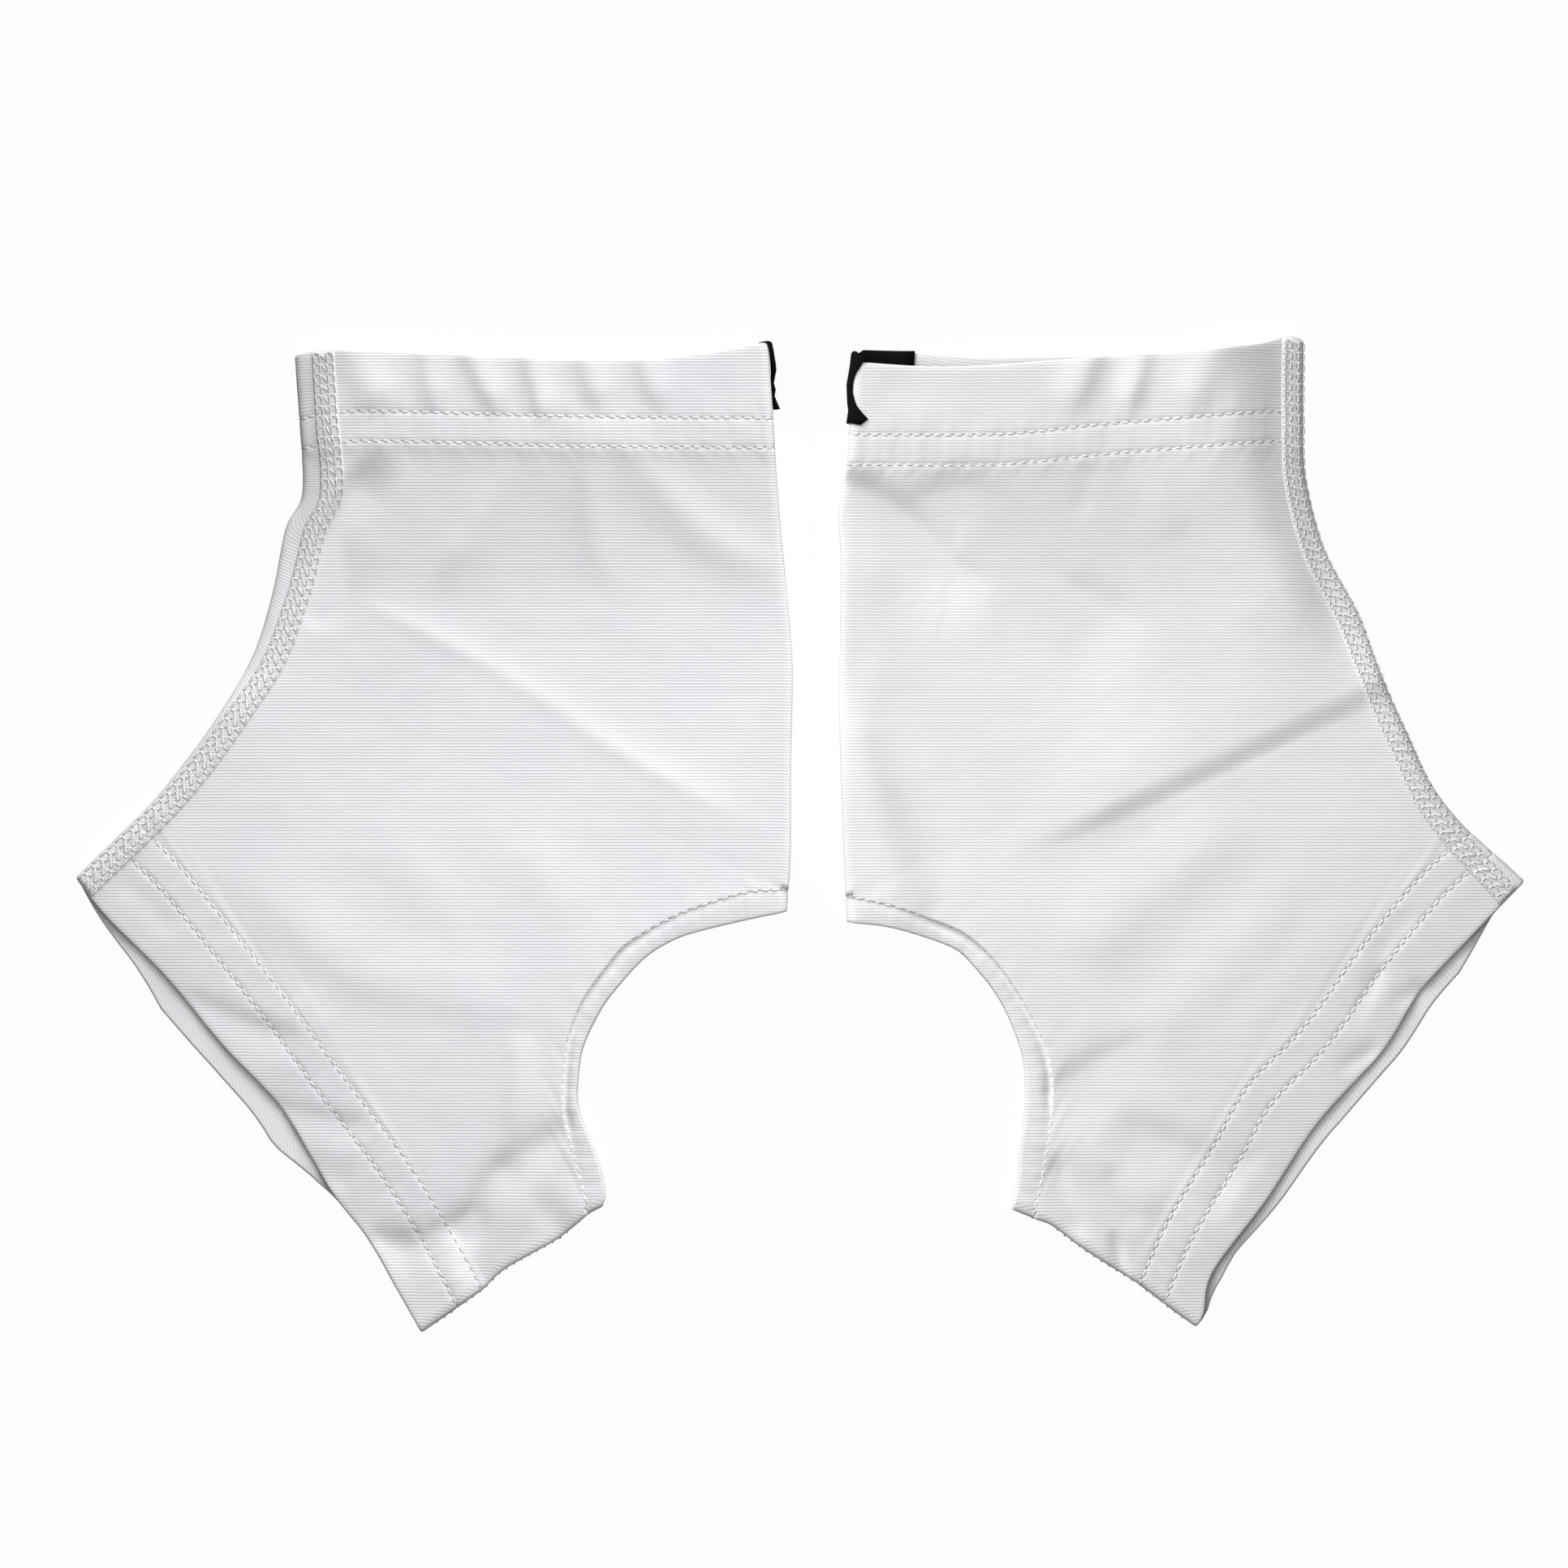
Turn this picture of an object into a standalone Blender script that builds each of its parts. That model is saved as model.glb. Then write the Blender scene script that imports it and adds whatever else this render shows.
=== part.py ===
# A pair of stretch-knit spats, lying flat side by side on a table with their toes turned out.
# Each spat is one piece of cloth folded at the heel and joined at the instep. It is a flattened
# tube from the ankle hem to the toe hem, with a hole at the heel and a strap under the arch.
# The toe-to-toe direction is X, the ankles point to +Y and the table is Z = 0.

import math
from collections import namedtuple

import bmesh
import bpy
from mathutils import Vector

# Millimetres, turned to metres where the meshes are made.
CLOTH = 1.0
HEM = 1.6
TRIM = 0.5
SEAM_GAP = 0.3
FOLD_RADIUS = 2.0
EDGE_HEIGHT = 4.0
SAG = 0.7
SEAM_BAND = 5.0
MIDDLE_UP = 110.0
LABEL_DROP = 0.66
LABEL_UNDER_ANGLE = -38
LABEL_LEAF_ENDS = (0.84, 0.98)

UPPER_COLUMNS = 16
UNDER_COLUMNS = 10
HEM_COLUMNS = 26
HEM_ROWS = 3
HEEL_ROWS = 12
OPENING_ROWS = 14
SOLE_ROWS = 5
ARC_STEPS = 4

# Share of the instep's length where the rows change from the heel fold to the heel opening,
# and from the opening to the sole seam.
HEEL_SHARE = 0.54
OPENING_SHARE = 0.87

# Points of the outline as it lies: forward from the heel fold towards the toe, and up from the
# lowest corner towards the ankle.
At = namedtuple("At", "forward up")

# A fold runs from one point to another. Its height is above the cloth, or below it if negative.
Fold = namedtuple("Fold", "forward up to_forward to_up width height")

# The seam's band starts this far round from the instep fold, at this share of its length.
Wrap = namedtuple("Wrap", "share turn")

# How far the under side's edge shows past the upper side's, at this share of the edge.
Peek = namedtuple("Peek", "share reach")

# A label's reach is how far it comes up round the heel fold, at even steps from top to foot.

LEFT = {
    "name": "left",
    "toe": -1,
    "heel_x": -1.9,
    "instep": [
        At(109.5, 215.5), At(109.0, 203.0), At(108.0, 195.0), At(108.0, 184.5), At(111.5, 177.5),
        At(114.5, 163.0), At(119.0, 149.0), At(127.5, 134.5), At(138.0, 120.5), At(145.0, 113.0),
        At(153.5, 106.0), At(157.7, 100.5),
    ],
    "heel": [
        At(5.0, 218.4), At(3.8, 201.0), At(3.6, 195.0), At(2.3, 177.5), At(0.9, 163.0),
        At(-0.3, 147.0), At(0.0, 127.5), At(0.1, 106.0), At(0.6, 97.9), At(0.9, 92.9),
    ],
    "ankle_edge": [
        At(109.5, 215.5), At(105.5, 216.4), At(95.5, 216.6), At(70.0, 215.4), At(44.5, 214.5),
        At(32.0, 214.6), At(19.0, 215.9), At(5.0, 218.4),
    ],
    "ankle_stitch": [
        At(108.0, 195.0), At(95.5, 196.5), At(70.0, 196.0), At(44.5, 195.3), At(3.6, 195.0),
    ],
    "opening_edge": [
        At(0.9, 92.9), At(7.5, 91.6), At(19.0, 88.9), At(25.5, 86.8), At(32.0, 82.9),
        At(38.2, 76.3), At(42.0, 71.1), At(45.7, 63.4), At(46.8, 57.0), At(46.8, 49.5),
        At(43.0, 39.8), At(41.0, 32.0), At(41.3, 28.0),
    ],
    "opening_stitch": [
        At(0.6, 97.9), At(9.5, 97.3), At(19.0, 94.6), At(25.5, 92.1), At(32.0, 88.6),
        At(37.0, 85.2), At(41.3, 80.0), At(45.7, 73.8), At(49.0, 66.0), At(50.2, 57.0),
        At(50.2, 48.2), At(47.3, 37.3), At(44.5, 26.4),
    ],
    "sole": [
        At(44.5, 26.4), At(51.0, 21.1), At(57.3, 17.5), At(63.6, 13.8), At(68.0, 9.6),
        At(73.6, 4.8), At(81.4, 0.2),
    ],
    "toe_stitch": [
        At(145.0, 113.0), At(134.6, 103.0), At(122.0, 87.7), At(111.1, 73.8), At(98.9, 57.1),
        At(85.4, 39.3), At(76.3, 24.8), At(68.0, 9.6),
    ],
    "toe_edge": [
        At(157.7, 100.5), At(150.7, 91.6), At(138.0, 78.8), At(125.2, 63.4), At(112.3, 49.5),
        At(101.4, 31.4), At(92.9, 20.4), At(86.8, 9.6), At(81.4, 0.2),
    ],
    "ankle_peek": [Peek(0.0, 0.0), Peek(1.0, 0.0)],
    "toe_peek": [
        Peek(0.0, 0.0), Peek(0.18, 3.2), Peek(0.27, 5.6), Peek(0.40, 5.0), Peek(0.58, 6.2),
        Peek(0.66, 2.4), Peek(0.72, 0.2), Peek(1.0, 0.0),
    ],
    "seam_wrap": [
        Wrap(0.0, 5.0), Wrap(0.25, 5.0), Wrap(0.42, 3.4), Wrap(0.60, 2.2), Wrap(0.8, 1.4),
        Wrap(1.0, 1.4),
    ],
    "label_reach": [3.4, 2.2, 1.3, 1.2, 1.6],
    "folds": [
        Fold(90.0, 163.0, 12.0, 118.0, 7.0, 2.0),
        Fold(84.0, 153.0, 34.0, 119.0, 6.0, -0.9),
        Fold(115.0, 94.0, 95.0, 77.0, 6.0, -0.9),
        Fold(95.0, 77.0, 56.0, 73.0, 6.0, -0.8),
        Fold(51.0, 45.5, 79.5, 20.5, 5.0, -1.0),
        Fold(58.0, 50.0, 86.0, 25.0, 5.0, 1.3),
        Fold(90.0, 191.0, 101.5, 180.0, 4.0, -1.0),
        Fold(96.0, 193.0, 108.0, 178.0, 4.5, 1.4),
        Fold(40.0, 191.0, 25.5, 177.5, 5.0, -0.9),
        Fold(86.0, 216.0, 86.0, 201.5, 3.6, 1.0),
        Fold(75.0, 216.0, 75.5, 201.5, 3.6, 1.2),
        Fold(64.0, 216.0, 64.0, 201.5, 3.6, 1.1),
        Fold(51.0, 216.0, 51.5, 201.5, 4.2, 1.0),
        Fold(38.5, 216.0, 38.5, 201.5, 4.2, 0.8),
        Fold(97.0, 216.0, 96.0, 201.5, 4.0, 0.8),
    ],
}

RIGHT = {
    "name": "right",
    "toe": 1,
    "heel_x": 9.0,
    "instep": [
        At(102.0, 219.0), At(101.6, 205.0), At(101.9, 197.0), At(102.8, 187.0), At(107.0, 172.3),
        At(114.4, 158.5), At(119.2, 145.2), At(125.6, 130.8), At(131.2, 119.5), At(138.7, 110.6),
        At(148.9, 102.1), At(150.7, 99.8),
    ],
    "heel": [
        At(2.8, 214.0), At(2.0, 202.5), At(1.3, 191.4), At(-0.4, 181.0), At(0.0, 170.4),
        At(-0.2, 147.0), At(-0.4, 138.2), At(0.5, 109.6), At(1.1, 96.4), At(1.4, 90.6),
    ],
    "ankle_edge": [
        At(102.0, 219.0), At(98.4, 219.9), At(91.0, 217.9), At(74.0, 216.1), At(57.3, 215.2),
        At(32.0, 213.2), At(17.3, 213.0), At(2.8, 214.0),
    ],
    "ankle_stitch": [
        At(101.9, 197.0), At(84.0, 195.7), At(57.3, 193.6), At(43.6, 192.1), At(30.0, 191.3),
        At(1.3, 191.4),
    ],
    "opening_edge": [
        At(1.4, 90.6), At(10.4, 89.5), At(19.0, 87.1), At(25.5, 84.5), At(29.0, 81.2),
        At(33.4, 75.9), At(36.8, 70.0), At(39.8, 62.0), At(40.6, 56.0), At(40.4, 48.2),
        At(39.5, 40.9), At(39.0, 34.3), At(37.7, 27.3),
    ],
    "opening_stitch": [
        At(1.1, 96.4), At(11.1, 94.3), At(19.6, 91.4), At(26.8, 88.4), At(33.0, 83.2),
        At(38.0, 76.6), At(42.7, 68.6), At(45.7, 61.4), At(46.6, 54.8), At(46.4, 48.2),
        At(45.7, 42.9), At(44.2, 34.0), At(42.2, 25.4),
    ],
    "sole": [
        At(42.2, 25.4), At(46.6, 23.7), At(53.2, 18.8), At(60.5, 14.1), At(65.7, 10.8),
        At(71.8, 5.9), At(78.2, 1.4),
    ],
    "toe_stitch": [
        At(138.7, 110.6), At(128.0, 101.1), At(115.2, 85.9), At(102.3, 68.0), At(89.5, 54.5),
        At(82.1, 41.4), At(72.1, 25.0), At(65.7, 10.8),
    ],
    "toe_edge": [
        At(150.7, 99.8), At(139.0, 87.5), At(127.6, 75.2), At(119.5, 62.3), At(105.2, 46.4),
        At(93.8, 29.3), At(82.1, 13.6), At(80.0, 4.5), At(78.2, 1.4),
    ],
    "ankle_peek": [
        Peek(0.0, 0.0), Peek(0.4, 0.0), Peek(0.68, 1.9), Peek(0.85, 3.2), Peek(1.0, 2.4),
    ],
    "toe_peek": [
        Peek(0.0, 0.0), Peek(0.08, 0.2), Peek(0.20, 3.8), Peek(0.31, 4.0), Peek(0.42, 3.2),
        Peek(0.54, 3.8), Peek(0.72, 2.8), Peek(0.84, 1.8), Peek(0.90, 2.6), Peek(1.0, 0.0),
    ],
    "seam_wrap": [
        Wrap(0.0, 0.4), Wrap(0.5, 0.6), Wrap(0.7, 1.0), Wrap(0.85, 1.8), Wrap(1.0, 3.6),
    ],
    "label_reach": [3.5, 2.2, 1.6, 2.8, 4.5],
    "folds": [
        Fold(108.0, 142.0, 44.0, 111.0, 5.5, 2.2),
        Fold(110.0, 136.0, 48.0, 105.5, 3.6, -1.0),
        Fold(4.5, 186.5, 16.5, 179.5, 4.0, -0.9),
        Fold(16.5, 179.5, 28.0, 166.5, 4.0, -0.9),
        Fold(2.5, 180.0, 22.0, 163.0, 5.5, 1.6),
        Fold(29.5, 187.5, 40.0, 181.0, 4.5, -0.8),
        Fold(40.0, 181.0, 59.5, 163.0, 5.0, -0.8),
        Fold(10.0, 122.0, 20.0, 99.0, 5.0, -0.6),
        Fold(47.0, 47.0, 66.0, 32.0, 5.0, 1.4),
        Fold(68.5, 46.0, 78.0, 38.0, 4.5, -0.9),
        Fold(56.5, 215.0, 61.5, 201.0, 3.6, 1.3),
        Fold(73.0, 216.0, 71.5, 202.0, 3.6, 1.0),
        Fold(88.0, 217.0, 85.5, 203.0, 4.2, 0.9),
        Fold(122.0, 79.0, 113.0, 72.0, 4.0, 0.9),
    ],
}


def spline(points):
    """Dense points of a smooth curve through the given ones, for sampling by length."""
    knots = [Vector(p) for p in points]
    padded = [2 * knots[0] - knots[1]] + knots + [2 * knots[-1] - knots[-2]]
    dense = [knots[0]]
    for before, start, end, after in zip(padded, padded[1:], padded[2:], padded[3:]):
        for step in range(1, 9):
            t = step / 8
            dense.append(
                0.5
                * (
                    2 * start
                    + (end - before) * t
                    + (2 * before - 5 * start + 4 * end - after) * t**2
                    + (3 * start - before - 3 * end + after) * t**3
                )
            )
    return dense


def along(dense, share):
    """The point at this share of a curve's length."""
    lengths = [(b - a).length for a, b in zip(dense, dense[1:])]
    left = max(0.0, min(1.0, share)) * sum(lengths)
    for start, end, length in zip(dense, dense[1:], lengths):
        if left <= length:
            return start.lerp(end, left / length)
        left -= length
    return dense[-1].copy()


def share_near(dense, point):
    """The share of a curve's length that lies nearest to a point."""
    total = sum((b - a).length for a, b in zip(dense, dense[1:]))
    best = min(range(len(dense)), key=lambda i: (dense[i] - Vector(point)).length)
    return sum((b - a).length for a, b in zip(dense[:best], dense[1 : best + 1])) / total


def from_table(rows, share):
    """A column's value at a share, straight between the table's rows."""
    for low, high in zip(rows, rows[1:]):
        if share <= high[0]:
            return low[1] + (high[1] - low[1]) * (share - low[0]) / (high[0] - low[0])
    return rows[-1][1]


def folds_at(spec, point):
    """Height that the folds add at a point. Each fold fades towards its two ends."""
    height = 0.0
    for fold in spec["folds"]:
        start = Vector((fold.forward, fold.up))
        line = Vector((fold.to_forward, fold.to_up)) - start
        share = (point - start).dot(line) / line.length_squared
        near = start + line * max(0.0, min(1.0, share))
        fade = max(0.0, 1 - (2 * max(0.0, min(1.0, share)) - 1) ** 6)
        height += fold.height * fade * math.exp(-(((point - near).length / fold.width) ** 2))
    return height


def curves_of(spec):
    names = ("instep", "heel", "ankle_edge", "ankle_stitch", "opening_edge", "opening_stitch")
    return {name: spline(spec[name]) for name in names + ("sole", "toe_stitch", "toe_edge")}


def body_line(spec, curves, row):
    """Plan of one row of the body, from the instep fold to the back, and whether it is open there."""
    rows = HEEL_ROWS + OPENING_ROWS + SOLE_ROWS
    first = share_near(curves["instep"], spec["ankle_stitch"][0])
    last = share_near(curves["instep"], spec["toe_stitch"][0])
    heel_first = share_near(curves["heel"], spec["ankle_stitch"][-1])
    heel_last = share_near(curves["heel"], spec["opening_stitch"][0])
    sole_last = share_near(curves["sole"], spec["toe_stitch"][-1])
    is_open = HEEL_ROWS < row < HEEL_ROWS + OPENING_ROWS
    if row <= HEEL_ROWS:
        t = row / HEEL_ROWS
        share = HEEL_SHARE * t
        back = along(curves["heel"], heel_first + (heel_last - heel_first) * t)
    elif row < HEEL_ROWS + OPENING_ROWS:
        t = (row - HEEL_ROWS) / OPENING_ROWS
        share = HEEL_SHARE + (OPENING_SHARE - HEEL_SHARE) * t
        stitch = along(curves["opening_stitch"], t)
        edge = along(curves["opening_edge"], t)
        back = stitch + (stitch - edge).normalized() * SEAM_GAP
    else:
        t = (row - HEEL_ROWS - OPENING_ROWS) / SOLE_ROWS
        share = OPENING_SHARE + (1 - OPENING_SHARE) * t
        back = along(curves["sole"], sole_last * t)
    instep = along(curves["instep"], first + (last - first) * share)
    down = row / rows

    def line(u):
        point = instep.lerp(back, u)
        for name, weight in (("ankle_stitch", 1 - down), ("toe_stitch", down)):
            curve = curves[name]
            point = point + weight * (along(curve, u) - curve[0].lerp(curve[-1], u))
        return point

    if row == 0:
        return lambda u: line(u) + Vector((0, -SEAM_GAP / 2)), is_open
    if row == HEEL_ROWS:
        return lambda u: line(u) + Vector((0, SEAM_GAP / 2)) * u, is_open
    if row == rows:
        inward = (curves["toe_stitch"][0] - curves["toe_edge"][0]).normalized()
        return lambda u: line(u) + inward * SEAM_GAP / 2, is_open
    return line, is_open


def level(u):
    return 0.0


def hem_line(curves, edge_name, stitch_name, share, shift):
    """Plan of one row of a hem, at a share of its depth from the stitching to the edge."""
    edge = curves[edge_name]
    stitch = curves[stitch_name]

    def line(u):
        start = along(stitch, u)
        end = along(edge, u)
        out = (end - start).normalized()
        return start.lerp(end, share) + out * (SEAM_GAP / 2 * (1 - share) + shift(u) * share)

    return line


def section(line, is_open, columns, under_columns, lift, under_line=None):
    """Points round one row's outer face: instep fold, upper side, back fold, under side."""
    under = under_line or line
    length = (line(1.0) - line(0.0)).length
    inset = FOLD_RADIUS / length

    def arc(share, in_share, top, first_angle, last_angle):
        edge = line(share).lerp(under(share), 0.5)
        turned = []
        for step in range(ARC_STEPS + 1):
            angle = math.radians(first_angle + (last_angle - first_angle) * step / ARC_STEPS)
            upper_end = line(in_share)
            under_end = under(in_share)
            inner = under_end.lerp(upper_end, 0.5 + 0.5 * math.sin(angle))
            plan = inner + (edge - inner) * math.cos(angle)
            turned.append((*plan, top * 0.5 * (1 + math.sin(angle))))
        return turned

    end_share = 1.0 if is_open else 1 - inset
    points = arc(0.0, inset, lift(inset), -90, 90)
    for column in range(1, columns):
        u = inset + (end_share - inset) * column / columns
        points.append((*line(u), lift(u)))
    if is_open:
        points.append((*line(1.0), lift(1.0)))
        points.append((*under(1.0), 0.0))
    else:
        points += arc(1.0, end_share, lift(end_share), 90, -90)
    for column in range(1, under_columns):
        u = end_share + (inset - end_share) * column / under_columns
        points.append((*under(u), 0.0))
    return points


def place(spec, point):
    """A point of a spat's own plan, in metres in the pair's frame."""
    forward, up, height = point
    x = spec["heel_x"] + spec["toe"] * forward
    return Vector((x, up - MIDDLE_UP, height)) / 1000


def shell(spec, name, rows, wall, faces, material, collection):
    """A sheet through the rows of points, thickened inwards from its outer face."""
    bm = bmesh.new()
    verts = [[bm.verts.new(place(spec, point)) for point in row] for row in rows]
    for quad in faces:
        corners = [verts[r][c] for r, c in quad]
        if spec["toe"] > 0:
            corners.reverse()
        bm.faces.new(corners)
    loose = [v for v in bm.verts if not v.link_faces]
    bmesh.ops.delete(bm, geom=loose, context="VERTS")
    mesh = bpy.data.meshes.new(name)
    bm.to_mesh(mesh)
    bm.free()
    mesh.materials.append(material)
    mesh.shade_smooth()
    piece = bpy.data.objects.new(name, mesh)
    collection.objects.link(piece)
    solidify = piece.modifiers.new("Wall", "SOLIDIFY")
    solidify.thickness = wall / 1000
    solidify.offset = -1
    solidify.use_even_offset = True
    solidify.use_quality_normals = True
    return piece


def band_faces(rows, columns, closed):
    """The quads between neighbouring rows, all the way round where the band is closed."""
    last = columns if closed else columns - 1
    return [
        [(r, c), (r + 1, c), (r + 1, (c + 1) % columns), (r, (c + 1) % columns)]
        for r in range(rows - 1)
        for c in range(last)
    ]


def body_lift(spec, line, down):
    """Height of the body's upper side along a row: it sags between its edges and carries folds."""

    def lift(u):
        sag = SAG * math.sin(math.pi * u) * math.sin(math.pi * down)
        return EDGE_HEIGHT - sag + folds_at(spec, line(u))

    return lift


def hem_lift(spec, line):
    return lambda u: EDGE_HEIGHT + folds_at(spec, line(u))


def make_body(spec, curves, material, collection):
    rows = HEEL_ROWS + OPENING_ROWS + SOLE_ROWS
    full = 2 * (ARC_STEPS + 1) + UPPER_COLUMNS - 1 + UNDER_COLUMNS - 1
    upper_end = ARC_STEPS + UPPER_COLUMNS
    under_end = full - UNDER_COLUMNS
    grid = []
    for row in range(rows + 1):
        line, is_open = body_line(spec, curves, row)
        lift = body_lift(spec, line, row / rows)
        points = section(line, is_open, UPPER_COLUMNS, UNDER_COLUMNS, lift)
        if is_open:
            # The open rows have no fold at the back, so its places in the row stay unused.
            spare = [points[upper_end]] * (ARC_STEPS - 1)
            points = points[: upper_end + 1] + spare + points[upper_end + 1 :]
        grid.append(points)
    faces = []
    for quad in band_faces(rows + 1, full, True):
        row = quad[0][0]
        column = quad[0][1]
        in_opening = HEEL_ROWS <= row < HEEL_ROWS + OPENING_ROWS
        if in_opening and upper_end <= column < under_end:
            continue
        faces.append(quad)
    return shell(spec, spec["name"] + "_body", grid, CLOTH, faces, material, collection)


def make_hem(spec, curves, part, edge_name, stitch_name, material, collection):
    def past(u):
        return from_table(spec[part + "_peek"], u)

    grid = []
    for row in range(HEM_ROWS + 1):
        share = row / HEM_ROWS
        line = hem_line(curves, edge_name, stitch_name, share, level)
        under = hem_line(curves, edge_name, stitch_name, share, past)
        lift = hem_lift(spec, line)
        grid.append(section(line, False, HEM_COLUMNS, UNDER_COLUMNS, lift, under))
    if part == "ankle":
        grid.reverse()
    faces = band_faces(len(grid), len(grid[0]), True)
    name = f"{spec['name']}_{part}_hem"
    return shell(spec, name, grid, HEM, faces, material, collection)


def make_heel_hem(spec, curves, material, collection):
    """The narrow hem round the heel opening: upper side, strap corner, under side, heel fold."""
    columns = 2 * OPENING_ROWS
    grid = []
    for across in (0.0, 0.5, 1.0):
        line = hem_line(curves, "opening_edge", "opening_stitch", across, level)
        grid.append(section(line, False, columns, columns, hem_lift(spec, line)))
    faces = [list(reversed(quad)) for quad in band_faces(3, len(grid[0]), True)]
    return shell(spec, spec["name"] + "_heel_hem", grid, HEM, faces, material, collection)


def round_fold(line, from_heel, lift, turn, out):
    """The point a distance round the outer face from a fold's outermost line, moved out."""
    length = (line(1.0) - line(0.0)).length
    inset = FOLD_RADIUS / length
    share = 1 - inset if from_heel else inset
    fold = line(1.0 if from_heel else 0.0)
    inner = line(share)
    top = lift(share)
    quarter = FOLD_RADIUS * math.pi / 2
    if turn < quarter:
        angle = turn / FOLD_RADIUS
        plan = inner + (fold - inner) * math.cos(angle) * (1 + out / FOLD_RADIUS)
        return (*plan, top / 2 * (1 + math.sin(angle)) + out * math.sin(angle))
    past = (turn - quarter) / length
    u = share - past if from_heel else share + past
    return (*line(u), lift(u) + out)


def seam_rows(spec, curves):
    """Plan lines and heights of every row that the instep seam crosses, from ankle to toe."""
    found = []
    for row in range(HEM_ROWS, -1, -1):
        line = hem_line(curves, "ankle_edge", "ankle_stitch", row / HEM_ROWS, level)
        found.append((line, hem_lift(spec, line)))
    rows = HEEL_ROWS + OPENING_ROWS + SOLE_ROWS
    for row in range(1, rows):
        line, _ = body_line(spec, curves, row)
        found.append((line, body_lift(spec, line, row / rows)))
    for row in range(HEM_ROWS + 1):
        line = hem_line(curves, "toe_edge", "toe_stitch", row / HEM_ROWS, level)
        found.append((line, hem_lift(spec, line)))
    return found


def make_seam(spec, curves, material, collection):
    """The flat seam's raised band along the instep, over both hems and the body."""
    grid = []
    for line, lift in seam_rows(spec, curves):
        start = from_table(spec["seam_wrap"], share_near(curves["instep"], line(0.0)))
        turns = [start + SEAM_BAND * step / 3 for step in range(4)]
        grid.append([round_fold(line, False, lift, turn, SEAM_GAP + TRIM) for turn in turns])
    faces = band_faces(len(grid), 4, False)
    return shell(spec, spec["name"] + "_instep_seam", grid, TRIM, faces, material, collection)


def make_label(spec, curves, material, collection):
    """The folded label's outer leaf, wrapped round the heel fold of the ankle hem."""
    lowest = math.radians(LABEL_UNDER_ANGLE)
    quarter = FOLD_RADIUS * math.pi / 2
    grid = []
    for step, reach in enumerate(spec["label_reach"]):
        share = 1 - LABEL_DROP * step / (len(spec["label_reach"]) - 1)
        line = hem_line(curves, "ankle_edge", "ankle_stitch", share, level)
        top = min(0.75 * reach, quarter)
        turns = [lowest * FOLD_RADIUS, 0.0, top / 2, top, reach]
        grid.append(
            [round_fold(line, True, lambda u: EDGE_HEIGHT, t, SEAM_GAP + TRIM) for t in turns]
        )
    faces = [list(reversed(quad)) for quad in band_faces(len(grid), len(grid[0]), False)]
    return shell(spec, spec["name"] + "_label", grid, TRIM, faces, material, collection)


def make_label_leaf(spec, curves, material, collection):
    """The label's inner leaf, where it shows on the inside of the under side's ankle edge."""
    top = HEM + SEAM_GAP + TRIM
    upper = hem_line(curves, "ankle_edge", "ankle_stitch", 1.0, level)
    rows = []
    for share in LABEL_LEAF_ENDS:
        reach = from_table(spec["ankle_peek"], share)
        start = upper(share)
        rows.append([(start.x, start.y + SEAM_GAP, top), (start.x, start.y + reach, top)])
    faces = [[(0, 0), (0, 1), (1, 1), (1, 0)]]
    name = spec["name"] + "_label_inner"
    return shell(spec, name, rows, TRIM, faces, material, collection)


def cloth_material(name, colour, roughness):
    material = bpy.data.materials.new(name)
    material.use_nodes = True
    shader = material.node_tree.nodes["Principled BSDF"]
    shader.inputs["Base Color"].default_value = (*colour, 1)
    shader.inputs["Roughness"].default_value = roughness
    shader.inputs["Metallic"].default_value = 0
    material.diffuse_color = (*colour, 1)
    return material


for old in list(bpy.data.objects):
    bpy.data.objects.remove(old, do_unlink=True)

spats = bpy.data.collections.new("Spats")
bpy.context.scene.collection.children.link(spats)

for spat in (LEFT, RIGHT):
    side = spat["name"]
    shapes = curves_of(spat)
    knit = cloth_material(side + "_knit", (0.80, 0.80, 0.81), 0.85)
    ankle = cloth_material(side + "_ankle_knit", (0.79, 0.79, 0.80), 0.85)
    toe = cloth_material(side + "_toe_knit", (0.78, 0.78, 0.79), 0.85)
    heel = cloth_material(side + "_heel_knit", (0.80, 0.80, 0.81), 0.85)
    thread = cloth_material(side + "_thread", (0.82, 0.82, 0.83), 0.6)
    woven = cloth_material(side + "_woven", (0.01, 0.01, 0.011), 0.7)
    make_body(spat, shapes, knit, spats)
    make_hem(spat, shapes, "ankle", "ankle_edge", "ankle_stitch", ankle, spats)
    make_hem(spat, shapes, "toe", "toe_edge", "toe_stitch", toe, spats)
    make_heel_hem(spat, shapes, heel, spats)
    make_seam(spat, shapes, thread, spats)
    make_label(spat, shapes, woven, spats)
    if spat["ankle_peek"][-1].reach > 0:
        make_label_leaf(spat, shapes, woven, spats)
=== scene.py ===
# A pair of white rib-knit spats laid flat, toes turned out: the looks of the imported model.
# +X runs from the left toe to the right toe, +Y to the ankle openings, Z is up off the table.
import math

import bmesh
import bpy
import numpy as np
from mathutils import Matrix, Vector, noise


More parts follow.
